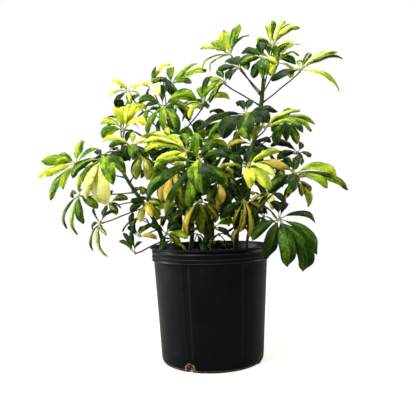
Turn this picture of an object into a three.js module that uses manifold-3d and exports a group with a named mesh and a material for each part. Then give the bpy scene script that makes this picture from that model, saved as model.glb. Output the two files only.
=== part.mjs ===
// A variegated dwarf umbrella plant in a round black nursery pot.
// Millimetres, +Z up. The origin is the centre of the pot's flat underside, and the plant's front faces -Y.
// Every woody stem stands in a hole in the soil, and every compound leaf (stalk, hub and its ring of
// leaflets) is one solid that springs from a stem.
import * as THREE from "three";
import { mergeVertices } from "three/addons/utils/BufferGeometryUtils.js";
import Module from "manifold-3d";

const wasm = await Module();
wasm.setup();

// ---------------------------------------------------------------- driving dimensions

const GAP = 0.3; // between a piece and what carries it
const UP = new THREE.Vector3(0, 0, 1);

const POT = {
  height: 240,
  rimRadius: 127,
  shoulderRadius: 119, // body, just under the collar
  baseRadius: 107, // body, just above the rounded foot
  footRadius: 99,
  footRound: 11,
  wall: 2,
  floor: 3,
  sides: 36,
  collar: 31, // height of the stepped collar, lip included
};
const DRAIN = { count: 4, radius: 9, height: 7, first: -115, sides: 10 };
const SOIL = { top: 222, crown: 4, hole: 34 };

const STEM = { sides: 6, steps: 8 };
const STALK = { radius: 1.5, foot: 2.6, sides: 5, steps: 4, spring: 0.22 };
const HUB = { radius: 3.4, above: 1.2, below: 1.5, dome: 2.6, neck: 5 };
const BLADE = { width: 0.36, thick: 1.5, arch: 0.05, stemWidth: 2.4, bend: 0.3, open: 0.6, roll: 14 };
// How leaflets leave the hub: degrees between neighbours, the steepest rise or fall, the shares of their
// length that are a straight little stalk and that lead the curve after it, and half the side each one
// grows from.
const ROOT = { spread: 28, steepest: 48, length: 0.12, lead: 0.2, half: 20 };
// Where the sections of a leaflet's blade lie along it, and how much of its full width each has.
const STATIONS = [
  { s: 0.43, width: 0.9 },
  { s: 0.79, width: 0.86 },
];
const TOUCH = 2e-5; // volume in mm3 that two parts of a leaf share where they only meet
const CLEAR = 1.4; // added to a leaflet's thickness and width when it is tested against its neighbours

// The eye that sees the plant as its front view shows it: a point of the front view is given as
// [across, down, near], the first two in picture units and near in mm towards the eye from the pot's axis.
const EYE = { x: -2.5, distance: 1090, height: 322, focal: 515, middle: 208, pitch: -0.25, roll: 1.5 };

// ---------------------------------------------------------------- the plant, as it grew

const STEMS = [
  {
    name: "stem_right", radius: [6.6, 4.4],
    route: [[236, 256, 0], [233, 190, 10], [262, 140, 5], [263, 78, 0]],
  },
  {
    name: "stem_left", radius: [5.2, 3.4],
    route: [[165, 254, 25], [161, 214, 45], [136, 202, 40], [117, 160, 30]],
  },
  {
    name: "stem_middle", radius: [5.4, 3.6],
    route: [[190, 257, -10], [198, 200, -10], [183, 165, 10], [168, 126, 0]],
  },
  {
    name: "stem_back", radius: [5.4, 3.6],
    route: [[212, 258, -60], [214, 200, -80], [208, 165, -130], [196, 126, -150]],
  },
  {
    name: "shoot_right", radius: [3.4, 2.4],
    route: [[246, 262, 55], [246, 226, 60], [253, 213, 70], [270, 196, 75]],
  },
];

// One row for each compound leaf: its hub in the front view, the stem it springs from and how far up that
// stem, the length of its leaflets, and each leaflet's tip as [across, down, swing]. Swing 1 turns the tip
// towards the eye as far as the length allows, and -1 turns it away. Open says how far the blades' faces turn
// towards the eye, and bend how high they arch. A tip's fourth number is how broad its leaflet is beside the
// usual, and the fifth its own bend.
const SEEN_LEAVES = [
  // Crown of the right-hand stem
  {
    hub: [272, 46, 5], stem: 0, at: 0.985, length: 88, open: 1,
    tips: [
      [274, 18, -0.2, 0.5], [266, 25, -0.4, 0.7], [284, 21, -0.3, 0.8], [300, 26, -0.4, 0.9],
      [257, 41, 0.2, 0.8], [256, 48, -0.7, 0.6], [292, 42, 0.4, 0.8], [277, 56, -0.9],
    ],
  },
  {
    hub: [277, 62, -55], stem: 0, at: 0.93, length: 74,
    tips: [
      [300, 43, -0.2, 0.4], [299, 53, -0.5, 0.7], [294, 74, 0.1, 0.8], [286, 45, 0.3], [273, 75, 0.5],
      [266, 68, -0.6],
    ],
  },
  {
    hub: [263, 58, 70], stem: 0, at: 0.955, length: 74, open: 0.8,
    tips: [
      [241, 52, -0.1], [240, 65, 0.5], [253, 78, 0.3], [263, 76, 0.8], [277, 63, 0.5], [258, 43, -0.5],
    ],
  },
  {
    hub: [240, 68, 30], stem: 0, at: 0.92, length: 76, open: 0.9,
    tips: [
      [218, 71, 0.5], [229, 79, 0.6, 0.8], [224, 61, -0.4], [236, 58, -0.6, 0.8], [246, 56, -0.6, 0.8],
      [247, 68, 0.9, 0.8],
    ],
  },
  {
    hub: [225, 82, 25], stem: 0, at: 0.85, length: 78, open: 0.8,
    tips: [
      [203, 97, 0.3, 0.7], [209, 103, 0.4, 0.6], [211, 82, 0.1], [217, 70, -0.2, 0.8],
      [231, 73, -0.9, 0.8], [215, 93, 0.7, 0.5],
    ],
  },
  {
    hub: [230, 54, -25], stem: 0, at: 0.91, length: 86, open: 1,
    tips: [
      [239, 23, -0.3, 0.9, 0.02], [249, 35, -0.4, 0.4], [232, 41, -0.9, 0.6], [224, 31, -0.4, 1.1, 0.1],
      [211, 40, -0.2, 1.2, 0.1], [200, 49, 0.5, 0.7], [200, 67, 0.2, 0.5], [207, 69, -0.5, 0.5],
    ],
  },
  {
    hub: [300, 69, 20], stem: 0, at: 0.87, length: 92, open: 0.6, bend: 0.16,
    tips: [
      [343, 54, 0.1, 0.5], [337, 50, -0.3, 0.5], [339, 91, 0.3, 0.8, 0.36], [271, 80, 0.4],
      [312, 53, -0.9, 0.4], [299, 60, -0.6, 0.5], [290, 76, -0.5],
    ],
  },
  // Upper left, from the middle stem
  {
    hub: [171, 84, -30], stem: 2, at: 0.985, length: 80, open: 0.9, bend: 0.18,
    tips: [
      [171, 66, -0.5, 0.9], [185, 70, 0.1, 0.6, 0.1], [197, 62, -0.6, 0.4, 0.1], [206, 68, 0.3, 0.9, 0.1],
      [191, 83, 0.7, 0.9], [156, 79, -0.6, 0.9], [161, 95, 0.6], [176, 96, 0.2, 0.7],
    ],
  },
  {
    hub: [163, 106, 35], stem: 2, at: 0.955, length: 82, open: 1.1, bend: 0.4,
    tips: [
      [138, 101, 0.3, 0.9], [145, 109, -0.6, 0.7], [160, 85, -0.5, 0.7], [198, 98, 0.2, 1.1],
      [177, 134, 0.5, 0.9], [163, 130, 0.7, 0.6], [147, 135, 0.2, 0.6], [190, 112, -0.4],
    ],
  },
  {
    hub: [152, 88, -10], stem: 2, at: 0.9, length: 78, open: 0.9,
    tips: [
      [155, 66, 0.2, 0.8, 0.1], [170, 63, 0.1, 0.7], [134, 87, 0.6, 0.7], [128, 99, 0.3, 0.6],
      [157, 94, 0.9], [143, 84, -0.6, 0.6], [147, 96, -0.5, 0.7],
    ],
  },
  {
    hub: [128, 91, -45], stem: 2, at: 0.84, length: 66, open: 0.9,
    tips: [
      [111, 80, 0.2, 0.9], [108, 96, 0.1, 0.9], [115, 106, 0.5], [121, 87, -0.7, 0.6],
      [137, 86, -0.6, 0.5], [140, 96, -0.6, 0.7], [130, 104, 0.6, 0.8],
    ],
  },
  {
    hub: [203, 103, 15], stem: 2, at: 0.86, length: 76, open: 0.8,
    tips: [
      [212, 75, -0.3, 0.6], [222, 80, 0.2, 0.5], [230, 97, -0.1, 0.9], [189, 118, 0.6, 0.8],
      [182, 121, 0.1, 0.5], [184, 108, -0.5, 0.7], [199, 88, -0.8, 0.7],
    ],
  },
  // Left side, from the left-hand stem
  {
    hub: [124, 129, 45], stem: 1, at: 0.985, length: 76, open: 1.2,
    tips: [
      [100, 122, 0.2, 0.8], [113, 108, 0.1], [120, 106, -0.5], [129, 106, 0.4], [146, 104, -0.3],
      [152, 111, 0.2], [145, 123, 0.7, 0.8], [102, 137, 0.5],
    ],
  },
  {
    hub: [121, 120, -35], stem: 1, at: 0.93, length: 70, open: 1,
    tips: [
      [117, 99, -0.3], [106, 119, -0.6], [138, 93, -0.2], [105, 130, -0.3], [139, 128, -0.4],
      [127, 106, -0.9],
    ],
  },
  {
    hub: [132, 146, 70], stem: 1, at: 0.95, length: 72, open: 0.8, bend: 0.4,
    tips: [
      [101, 140, 0.1, 0.7], [109, 147, 0.5, 0.8], [121, 158, 0.6, 0.8], [134, 137, -0.8, 0.6],
      [148, 141, -0.2, 0.8], [146, 158, 0.4, 0.8], [133, 160, 0.8, 0.8],
    ],
  },
  {
    hub: [76, 163, 15], stem: 1, at: 0.86, length: 82, open: 1.5, bend: 0.2,
    tips: [
      [42, 162, 0.1, 1.1, 0.1], [39, 177, 0.1, 1.1, 0.1], [55, 156, -0.4, 0.9], [82, 140, -0.5, 1.2, 0.05],
      [98, 147, -0.3, 0.5], [62, 189, 0.4, 0.7], [49, 200, 0.1, 0.7],
    ],
  },
  {
    hub: [103, 158, 90], stem: 1, at: 0.92, length: 92, open: 0.9,
    tips: [
      [71, 178, 0.2, 0.8], [77, 190, 0.4, 0.6], [86, 199, 0.4, 0.7], [105, 205, 0.1, 1],
      [112, 181, 1, 0.8], [124, 172, 0.6, 0.9], [128, 160, -0.7, 0.8], [97, 152, -0.5, 0.6],
    ],
  },
  {
    hub: [79, 194, 30], stem: 1, at: 0.7, length: 66, open: 0.9,
    tips: [
      [64, 229, 0.1, 0.5], [75, 236, 0.4, 0.5], [83, 224, 0.6, 0.9], [98, 208, 0.4], [71, 197, -0.9, 0.6],
      [88, 191, -0.9, 0.6],
    ],
  },
  {
    hub: [100, 222, 20], stem: 1, at: 0.52, length: 62, open: 0.9,
    tips: [
      [93, 209, 0.4, 0.8], [92, 230, -0.5, 0.7], [116, 211, 0.2, 0.6], [91, 251, 0.1, 0.6],
      [99, 250, 0.4, 0.6], [106, 258, -0.1, 0.6], [107, 235, 0.8, 0.7],
    ],
  },
  {
    hub: [109, 203, -45], stem: 1, at: 0.6, length: 62, open: 0.9,
    tips: [
      [128, 199, 0.2], [112, 190, -0.7], [117, 214, 0.5], [104, 217, 0.5], [94, 200, -0.5],
      [121, 208, -0.5],
    ],
  },
  {
    hub: [134, 251, 70], stem: 1, at: 0.12, length: 52, open: 0.9,
    tips: [
      [123, 232, -0.1, 0.7, 0.1], [132, 229, 0.3, 0.8, 0.1], [119, 241, 0.3, 0.7], [142, 241, -0.7, 0.7],
    ],
  },
  {
    hub: [139, 236, 50], stem: 1, at: 0.25, length: 52, open: 0.9,
    tips: [
      [132, 212, 0.1], [154, 224, 0.4, 0.8, 0.4], [157, 239, 0.2, 0.8, 0.6], [127, 226, -0.5, 0.7],
      [146, 226, -0.8, 0.7],
    ],
  },
  {
    hub: [146, 203, 85], stem: 1, at: 0.45, length: 60, open: 0.9,
    tips: [
      [131, 202, 0.6], [130, 211, 0.3], [141, 222, 0.3], [152, 216, 0.8], [160, 204, 0.5], [159, 219, 0.1],
      [150, 190, -0.6],
    ],
  },
  // Middle of the plant
  {
    hub: [197, 162, 165], stem: 2, at: 0.55, length: 92, open: 0.35, bend: 0.36,
    tips: [
      [195, 134, -0.2, 0.7], [231, 156, 0.2, 0.7], [227, 186, 0.2, 0.9], [202, 190, 1, 0.9],
      [188, 210, 0.3, 0.7], [165, 216, 0.1, 0.4], [144, 201, 0.1, 0.65], [151, 169, -0.1, 0.6],
      [217, 143, -0.7, 0.8],
    ],
  },
  {
    hub: [187, 151, 110], stem: 2, at: 0.7, length: 84,
    tips: [
      [143, 140, 0.1, 0.5], [144, 150, 0.3, 0.5], [166, 137, -0.5, 0.7], [184, 132, -0.4, 0.7],
      [199, 138, 0.4, 0.7], [154, 167, 0.5, 0.6], [176, 172, 0.8, 0.7], [200, 159, -0.4, 0.6],
    ],
  },
  {
    hub: [171, 137, 50], stem: 2, at: 0.78, length: 78, open: 0.9,
    tips: [
      [133, 146, 0.2, 0.7], [146, 137, -0.3, 0.6], [165, 128, -0.6, 0.8], [183, 128, 0.2, 0.7],
      [157, 150, 0.7, 0.7], [141, 160, 0.4, 0.7],
    ],
  },
  {
    hub: [205, 143, 75], stem: 3, at: 0.75, length: 64, open: 0.9,
    tips: [
      [198, 128, 0.4, 0.9], [210, 123, 0.1, 0.9], [192, 134, -0.5, 0.7], [228, 121, -0.2, 0.6],
      [221, 136, 0.5, 0.8], [212, 158, 0.4, 0.7],
    ],
  },
  {
    hub: [246, 113, 95], stem: 0, at: 0.72, length: 96, bend: 0.22,
    tips: [
      [198, 131, 0.3, 0.7, 0.28], [222, 136, 0.6, 0.9], [245, 136, 0.8], [268, 121, 0.7],
      [278, 111, -0.3, 0.8], [237, 102, -0.8, 0.6], [250, 100, -0.8, 0.7],
    ],
  },
  {
    hub: [265, 127, 65], stem: 0, at: 0.65, length: 84,
    tips: [
      [300, 109, -0.5, 0.6, 0.15], [317, 121, 0.1, 0.6], [313, 128, 0.4, 0.6], [252, 122, 0.7],
      [252, 139, 0.8, 0.8], [232, 140, 0.1, 0.5], [260, 117, -0.8, 0.8], [288, 118, -0.2, 0.6],
    ],
  },
  {
    hub: [286, 121, 5], stem: 0, at: 0.6, length: 66, open: 1,
    tips: [
      [276, 145, 0.4], [286, 141, 0.8], [297, 144, 0.6], [303, 132, 0.6], [271, 131, -0.4],
      [290, 110, -0.9],
    ],
  },
  {
    hub: [246, 166, 145], stem: 0, at: 0.45, length: 84, open: 0.8,
    tips: [
      [251, 186, 0.7], [270, 189, 0.5, 1.1], [214, 171, 0.2, 0.5], [229, 158, 0.2, 0.9],
      [265, 148, -0.5, 0.5], [281, 150, -0.2, 0.6], [289, 169, 0.2, 0.8], [275, 175, 0.7, 0.8],
    ],
  },
  {
    hub: [298, 152, -20], stem: 0, at: 0.62, length: 62, open: 1,
    tips: [
      [310, 157, 0.5], [301, 165, 0.7], [277, 159, 0.2], [293, 170, 0.3], [270, 144, -0.2],
      [300, 142, -0.6],
    ],
  },
  {
    hub: [293, 173, 85], stem: 4, at: 0.985, length: 94, open: 1.2, bend: 0.35,
    tips: [
      [339, 180, 0.2, 0.8, 0.5], [349, 189, -0.1, 0.5, 0.3], [328, 187, 0.4, 0.8, 0.3], [292, 192, 0.7],
      [269, 193, 0.3], [275, 163, -0.5, 0.8], [299, 159, -0.6, 0.8], [283, 157, -0.8, 0.6],
    ],
  },
  {
    hub: [296, 180, 0], stem: 0, at: 0.5, length: 58, open: 0.9,
    tips: [
      [311, 191, 0.4], [302, 196, 0.7], [310, 207, 0.1], [285, 198, 0.3], [280, 186, -0.5],
      [305, 176, -0.8],
    ],
  },
  {
    hub: [279, 218, 115], stem: 4, at: 0.5, length: 100, bend: 0.4,
    tips: [
      [266, 259, 0.4, 1.1], [288, 267, 0.5, 1.1], [304, 274, 0.2], [317, 254, 0.1, 0.8],
      [318, 221, 0.1, 0.6, 0.5], [252, 240, 0.1, 0.8], [274, 202, -0.4, 0.9], [284, 204, -0.7, 0.7],
    ],
  },
  {
    hub: [268, 192, 30], stem: 4, at: 0.8, length: 60, open: 0.9,
    tips: [
      [256, 217, 0.3, 0.7], [251, 204, 0.2, 0.7], [272, 209, 0.8], [285, 203, 0.4], [277, 181, -0.5, 0.9],
      [255, 184, -0.6, 0.9], [264, 214, -0.2, 0.6],
    ],
  },
  // Inside the plant, hanging over the soil
  {
    hub: [244, 200, 55], stem: 0, at: 0.32, length: 66, open: 0.9,
    tips: [
      [249, 237, 0.2, 0.8], [240, 232, 0.5, 0.7], [257, 230, -0.3, 0.7], [220, 217, 0.3],
      [262, 212, -0.6, 0.8], [232, 227, 0.1, 0.6], [247, 186, 0.3, 0.7],
    ],
  },
  {
    hub: [200, 200, 60], stem: 2, at: 0.4, length: 70, open: 0.9,
    tips: [
      [201, 233, 0.5, 1.1], [187, 237, 0.2, 0.7], [217, 223, 0.4, 0.8], [209, 238, -0.1, 0.8],
      [182, 216, -0.4, 0.8], [216, 204, 0.6, 0.8], [193, 222, 0.8, 0.7],
    ],
  },
  {
    hub: [219, 180, 50], stem: 3, at: 0.42, length: 72, open: 0.9,
    tips: [
      [221, 204, 0.5], [227, 215, 0.1], [208, 201, 0.4], [234, 197, -0.4], [233, 176, -0.5],
      [203, 184, 0.4], [214, 219, -0.3],
    ],
  },
  {
    hub: [174, 170, 60], stem: 2, at: 0.62, length: 70, open: 0.9,
    tips: [
      [161, 202, 0.3], [181, 194, 0.7], [152, 185, -0.2], [183, 208, -0.2], [192, 188, -0.4],
      [170, 207, 0.1], [155, 172, 0.1],
    ],
  },
  {
    hub: [182, 206, 10], stem: 2, at: 0.25, length: 66, open: 0.9,
    tips: [
      [179, 238, 0.3], [172, 230, 0.5], [160, 208, 0.1], [169, 216, -0.4], [190, 226, 0.7],
      [197, 214, -0.6], [186, 190, -0.6],
    ],
  },
  {
    hub: [143, 156, 5], stem: 1, at: 0.8, length: 64, open: 0.9,
    tips: [
      [137, 178, 0.3], [148, 180, 0.5], [157, 172, -0.3], [131, 168, -0.5], [157, 149, -0.4],
      [132, 153, 0.4], [153, 184, -0.1],
    ],
  },
  {
    hub: [233, 181, -15], stem: 3, at: 0.5, length: 60, open: 0.9,
    tips: [
      [229, 164, 0.5], [240, 168, 0.4], [242, 201, -0.3], [222, 173, -0.6], [248, 184, -0.4],
      [229, 202, -0.1],
    ],
  },
  {
    hub: [252, 144, -15], stem: 0, at: 0.5, length: 66, open: 0.9,
    tips: [
      [227, 147, 0.3], [246, 162, 0.5], [271, 141, 0.3], [237, 133, -0.5], [272, 156, -0.5],
      [260, 167, 0.4], [233, 160, 0.1],
    ],
  },
  // Young leaves low in the pot
  {
    hub: [166, 233, 55], stem: 1, at: 0.16, length: 48, open: 0.8,
    tips: [
      [188, 238, 0.3], [181, 226, 0.1], [150, 224, -0.6], [174, 219, -0.7], [180, 246, 0.7],
      [162, 248, 0.4],
    ],
  },
  {
    hub: [214, 226, 55], stem: 0, at: 0.1, length: 48, open: 0.9,
    tips: [
      [200, 233, 0.3], [229, 235, 0.4], [235, 222, -0.4], [205, 219, -0.6], [218, 246, 0.6],
      [205, 246, 0.2],
    ],
  },
];

// Leaves on the far side of the plant: the hub, the stem, the leaflets' length and number, the way the
// ring of leaflets is turned, and how far they droop, in degrees.
const BACK_LEAVES = [
  { hub: [270, 58, -100], stem: 0, at: 0.9, length: 60, count: 6, turn: 10, droop: 8 },
  { hub: [178, 106, -150], stem: 3, at: 0.975, length: 86, count: 8, turn: 30, droop: 22 },
  { hub: [236, 128, -190], stem: 3, at: 0.9, length: 88, count: 8, turn: 25, droop: 22 },
  { hub: [150, 146, -150], stem: 3, at: 0.8, length: 88, count: 8, turn: 5, droop: 20 },
  { hub: [196, 140, -240], stem: 3, at: 0.92, length: 92, count: 8, turn: 15, droop: 26 },
  { hub: [172, 190, -205], stem: 3, at: 0.6, length: 86, count: 8, turn: 20, droop: 34 },
  { hub: [226, 190, -215], stem: 3, at: 0.66, length: 86, count: 8, turn: 40, droop: 34 },
];

// ---------------------------------------------------------------- small helpers

const radians = THREE.MathUtils.degToRad;

// A repeatable draw between -1 and 1 for leaf i, leaflet k.
function draw(i, k) {
  const x = Math.sin((i + 1) * 12.9898 + (k + 1) * 78.233) * 43758.5453;
  return 2 * (x - Math.floor(x)) - 1;
}

// A point of the front view, as a point in space.
function seen([across, down, near]) {
  const right = across - EYE.middle;
  const below = down - EYE.middle;
  const roll = radians(EYE.roll);
  const pitch = radians(EYE.pitch);
  const u = right * Math.cos(roll) - below * Math.sin(roll);
  const v = right * Math.sin(roll) + below * Math.cos(roll);
  const reach = (EYE.distance - near) / (EYE.focal * Math.cos(pitch) + v * Math.sin(pitch));
  const rise = EYE.focal * Math.sin(pitch) - v * Math.cos(pitch);
  return new THREE.Vector3(EYE.x + reach * u, -near, EYE.height + reach * rise);
}

function bezier(points, t) {
  let row = points;
  while (row.length > 1) {
    row = row.slice(1).map((p, i) => row[i].clone().lerp(p, t));
  }
  return row[0];
}

function bezierTangent(points, t) {
  const step = 1e-3;
  const before = bezier(points, Math.max(0, t - step));
  return bezier(points, Math.min(1, t + step)).sub(before).normalize();
}

const along = (origin, direction, distance) => origin.clone().addScaledVector(direction, distance);
const squareTo = (v, way) => v.clone().addScaledVector(way, -v.dot(way)).normalize();

// A growing list of vertices and triangles, closed by whoever fills it.
class Shell {
  vertices = [];
  triangles = [];

  add(point) {
    this.vertices.push(point);
    return this.vertices.length - 1;
  }

  face(...corners) {
    for (let i = 2; i < corners.length; i++) this.triangles.push([corners[0], corners[i - 1], corners[i]]);
  }

  // The side walls between two rings with as many points, the first ring below the second.
  wall(low, high) {
    low.forEach((_, i) => {
      const j = (i + 1) % low.length;
      this.face(low[i], low[j], high[j]);
      this.face(low[i], high[j], high[i]);
    });
  }

  solid() {
    return new wasm.Manifold(
      new wasm.Mesh({
        numProp: 3,
        vertProperties: new Float32Array(this.vertices.flatMap((p) => p.toArray())),
        triVerts: new Uint32Array(this.triangles.flat()),
      }),
    );
  }

  geometry() {
    const geometry = new THREE.BufferGeometry();
    geometry.setAttribute(
      "position",
      new THREE.Float32BufferAttribute(this.vertices.flatMap((p) => p.toArray()), 3),
    );
    geometry.setIndex(this.triangles.flat());
    geometry.computeVertexNormals();
    return geometry;
  }
}

function solidOf(geometry) {
  const bare = new THREE.BufferGeometry();
  bare.setAttribute("position", geometry.getAttribute("position"));
  if (geometry.index) bare.setIndex(geometry.index);
  const merged = mergeVertices(bare, 1e-4);
  return new wasm.Manifold(
    new wasm.Mesh({
      numProp: 3,
      vertProperties: merged.attributes.position.array,
      triVerts: new Uint32Array(merged.index.array),
    }),
  );
}

function geometryOf(solid) {
  const mesh = solid.getMesh();
  const geometry = new THREE.BufferGeometry();
  geometry.setAttribute("position", new THREE.Float32BufferAttribute(mesh.vertProperties, 3));
  geometry.setIndex(Array.from(mesh.triVerts));
  geometry.computeVertexNormals();
  return geometry;
}

// ---------------------------------------------------------------- pot

// Closed section of the pot: up the outside through the stepped collar, over the lip and down the inside.
function potSection() {
  const { height, rimRadius: rim, shoulderRadius: shoulder, wall, floor } = POT;
  const step = height - POT.collar;
  const outside = [
    [0, 0],
    [POT.footRadius, 0],
    [POT.footRadius + 5.5, 2.5],
    [POT.baseRadius, POT.footRound],
    [shoulder, step - 2],
    [shoulder + 2, step + 0.5],
    [shoulder + 2, step + 10],
    [shoulder + 4.5, step + 13],
    [shoulder + 4.5, step + 17],
    [shoulder + 3.6, step + 19],
    [shoulder + 5, height - 5],
    [rim, height - 4.5],
    [rim, height - 0.6],
    [rim - 0.8, height],
  ];
  const inside = [
    [rim - wall - 1.5, height],
    [shoulder + 4 - wall, step + 19],
    [shoulder - wall, step - 2],
    [POT.baseRadius - wall, POT.footRound],
    [POT.footRadius, floor],
    [0, floor],
  ];
  return [...outside, ...inside].map(([r, z]) => new THREE.Vector2(r, z));
}

const lathe = (points, sides) => new THREE.LatheGeometry(points, sides).rotateX(Math.PI / 2);

function makePot() {
  let pot = solidOf(lathe(potSection(), POT.sides));
  for (let i = 0; i < DRAIN.count; i++) {
    const hole = new THREE.CylinderGeometry(DRAIN.radius, DRAIN.radius, 30, DRAIN.sides)
      .rotateZ(-Math.PI / 2)
      .rotateY(radians(20))
      .translate(POT.baseRadius, 0, DRAIN.height)
      .rotateZ(radians(DRAIN.first + (i * 360) / DRAIN.count));
    pot = pot.subtract(solidOf(hole));
  }
  return pot;
}

// ---------------------------------------------------------------- stems and soil

const stemRoutes = STEMS.map(({ route }) => route.map(seen));

// A tapered tube along a stem, standing straight up in its hole first. Grown makes it fatter and deeper.
function makeStem(i, grown = 0) {
  const { sides, steps } = STEM;
  const route = stemRoutes[i];
  const [thick, thin] = STEMS[i].radius;
  const shell = new Shell();
  const floor = SOIL.top - SOIL.hole + GAP - grown;
  const ring = (centre, tangent, radius) => {
    const a = new THREE.Vector3(0, 1, 0).cross(tangent).normalize();
    const b = tangent.clone().cross(a);
    return Array.from({ length: sides }, (_, k) => {
      const angle = (k * 2 * Math.PI) / sides;
      const out = a.clone().multiplyScalar(Math.cos(angle)).addScaledVector(b, Math.sin(angle));
      return shell.add(along(centre, out, radius + grown));
    });
  };
  const foot = new THREE.Vector3(route[0].x, route[0].y, floor);
  const rings = [ring(foot, UP, thick)];
  for (let k = 0; k <= steps; k++) {
    const t = k / steps;
    rings.push(ring(bezier(route, t), bezierTangent(route, t), thick + (thin - thick) * t));
  }
  rings.slice(1).forEach((high, k) => shell.wall(rings[k], high));
  shell.face(...rings[0].slice().reverse());
  const tip = shell.add(along(bezier(route, 1), bezierTangent(route, 1), 2 * thin + grown));
  rings.at(-1).forEach((corner, k, top) => shell.face(corner, top[(k + 1) % sides], tip));
  return shell;
}

function makeSoil() {
  const level = SOIL.top;
  const wallAt = (z) => {
    const share = (z - POT.footRound) / (POT.height - POT.collar - 2 - POT.footRound);
    const slope = POT.shoulderRadius - POT.baseRadius;
    return POT.baseRadius + slope * Math.min(1, share) - POT.wall - 1.2;
  };
  const section = [
    [0, POT.floor + GAP],
    [POT.footRadius - 4, POT.floor + GAP],
    [wallAt(POT.footRound + 2) - 1, POT.footRound + 2],
    [wallAt(level - 16), level - 16],
    [wallAt(level) - 0.6, level - 5],
    [wallAt(level) - 10, level - 1],
    [60, level + 1],
    [0, level + SOIL.crown],
  ];
  const points = section.map(([r, z]) => new THREE.Vector2(r, z));
  let soil = solidOf(lathe(points, 24));
  STEMS.forEach((_, i) => {
    soil = soil.subtract(makeStem(i, GAP + 0.2).solid());
  });
  return soil;
}

// ---------------------------------------------------------------- compound leaves

// Directions square to an axis, from which azimuths round it are counted.
function compass(axis) {
  const east = new THREE.Vector3(0, 1, 0).cross(axis).normalize();
  const north = axis.clone().cross(east);
  const spoke = (angle) => {
    return east.clone().multiplyScalar(Math.cos(angle)).addScaledVector(north, Math.sin(angle));
  };
  const azimuth = (v) => (Math.atan2(v.dot(north), v.dot(east)) + 2 * Math.PI) % (2 * Math.PI);
  return { spoke, azimuth };
}

// Moves sorted azimuths round the ring until none is closer to the next than the spread.
function spreadOut(sorted, spread) {
  for (let pass = 0; pass < 80; pass++) {
    sorted.forEach((one, i) => {
      const next = sorted[(i + 1) % sorted.length];
      const gap = next.azimuth - one.azimuth + (i + 1 === sorted.length ? 2 * Math.PI : 0);
      const push = Math.max(0, spread - gap) / 2;
      one.azimuth -= push;
      next.azimuth += push;
    });
  }
}

// The ring of corners round a hub: each leaflet has a side from its low to its high corner, neighbours that
// meet share one, and a wide bare stretch gets corners of its own.
function hubCorners(roots) {
  const turn = 2 * Math.PI;
  const half = radians(ROOT.half);
  const corners = [];
  const fillTo = (angle) => {
    const from = corners.at(-1);
    const extra = Math.ceil((angle - from) / radians(80)) - 1;
    for (let i = 1; i <= extra; i++) corners.push(from + (i * (angle - from)) / (extra + 1));
  };
  roots.forEach((root, i) => {
    const before = roots.at(i - 1).azimuth - (i === 0 ? turn : 0);
    const after = roots[(i + 1) % roots.length].azimuth + (i + 1 === roots.length ? turn : 0);
    const low = Math.max(root.azimuth - half, (before + root.azimuth) / 2);
    const high = Math.min(root.azimuth + half, (after + root.azimuth) / 2);
    const shared = i > 0 && low - corners.at(-1) < 1e-6;
    if (i > 0) fillTo(low);
    root.low = shared ? corners.length - 1 : corners.push(low) - 1;
    root.high = corners.push(high) - 1;
  });
  if (corners[0] + turn - corners.at(-1) < 1e-6) {
    corners.pop();
    roots.at(-1).high = 0;
  } else {
    fillTo(corners[0] + turn);
  }
  return corners;
}

// How far a stem's skin reaches from its heart in one direction, at its highest under the foot of a stalk.
function skinReach(stem, heart, grain, out) {
  const across = grain.clone().cross(out);
  const shares = [-1.1, -0.8, -0.6, -0.4, -0.2, 0, 0.2, 0.4, 0.6, 0.8, 1.1];
  const reaches = shares.flatMap((a) =>
    [-1.1, 0, 1.1].map((b) => {
      const spot = along(heart, across, a * STALK.foot).addScaledVector(grain, b * STALK.foot);
      return new THREE.Raycaster(spot, out).intersectObject(stem).at(-1)?.distance ?? 0;
    }),
  );
  return Math.max(...reaches);
}

// A leaf as it is placed in space: its hub, the point of the stem it springs from, its umbrella's axis, and
// the azimuth round that axis at which each leaflet leaves the hub.
function placeLeaf(row, index) {
  const hub = seen(row.hub);
  const route = stemRoutes[row.stem];
  const [thick, thin] = STEMS[row.stem].radius;
  const heart = bezier(route, row.at);
  const grain = bezierTangent(route, row.at);
  const out = squareTo(hub.clone().sub(heart), grain);
  const bark = along(heart, out, thick + (thin - thick) * row.at + GAP);
  const seat = along(heart, out, skinReach(stemMeshes[row.stem], heart, grain, out) + GAP);
  const natural = hub.clone().sub(bark).normalize().addScaledVector(UP, 0.9).normalize();
  const leaf = { ...row, index, hub, seat, out, axis: natural, count: row.tips?.length ?? row.count };
  const rays = Array.from({ length: leaf.count }, (_, k) => tipChoices(leaf, k)[0].tip.sub(hub).normalize());
  if (row.tips) {
    // The umbrella's axis stands square to the ring of its tips.
    const round = rays.slice().sort((a, b) => compass(natural).azimuth(a) - compass(natural).azimuth(b));
    const area = new THREE.Vector3();
    round.forEach((ray, k) => area.add(ray.clone().cross(round[(k + 1) % round.length])));
    leaf.axis = area.normalize().addScaledVector(natural, 0.7).normalize();
  }
  const { azimuth } = compass(leaf.axis);
  const roots = rays.map((ray, k) => ({ k, azimuth: azimuth(ray) })).sort((a, b) => a.azimuth - b.azimuth);
  spreadOut(roots, radians(Math.min(ROOT.spread, 330 / leaf.count)));
  leaf.corners = hubCorners(roots);
  leaf.roots = roots;
  leaf.neck = along(hub, leaf.axis, -HUB.neck);
  return leaf;
}

// Ways a stalk may bow between stem and hub, the likeliest first: the bow's share of the stalk's length, and
// the way it leans, in degrees from upright.
const BOWS = [
  [0.1, 0], [0.04, 0], [0.16, 0], [0.1, 50], [0.1, -50], [0.18, 90],
  [0.18, -90], [0.26, 30], [0.26, -30], [0.12, 180], [0.3, 120], [0.3, -120],
];

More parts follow.
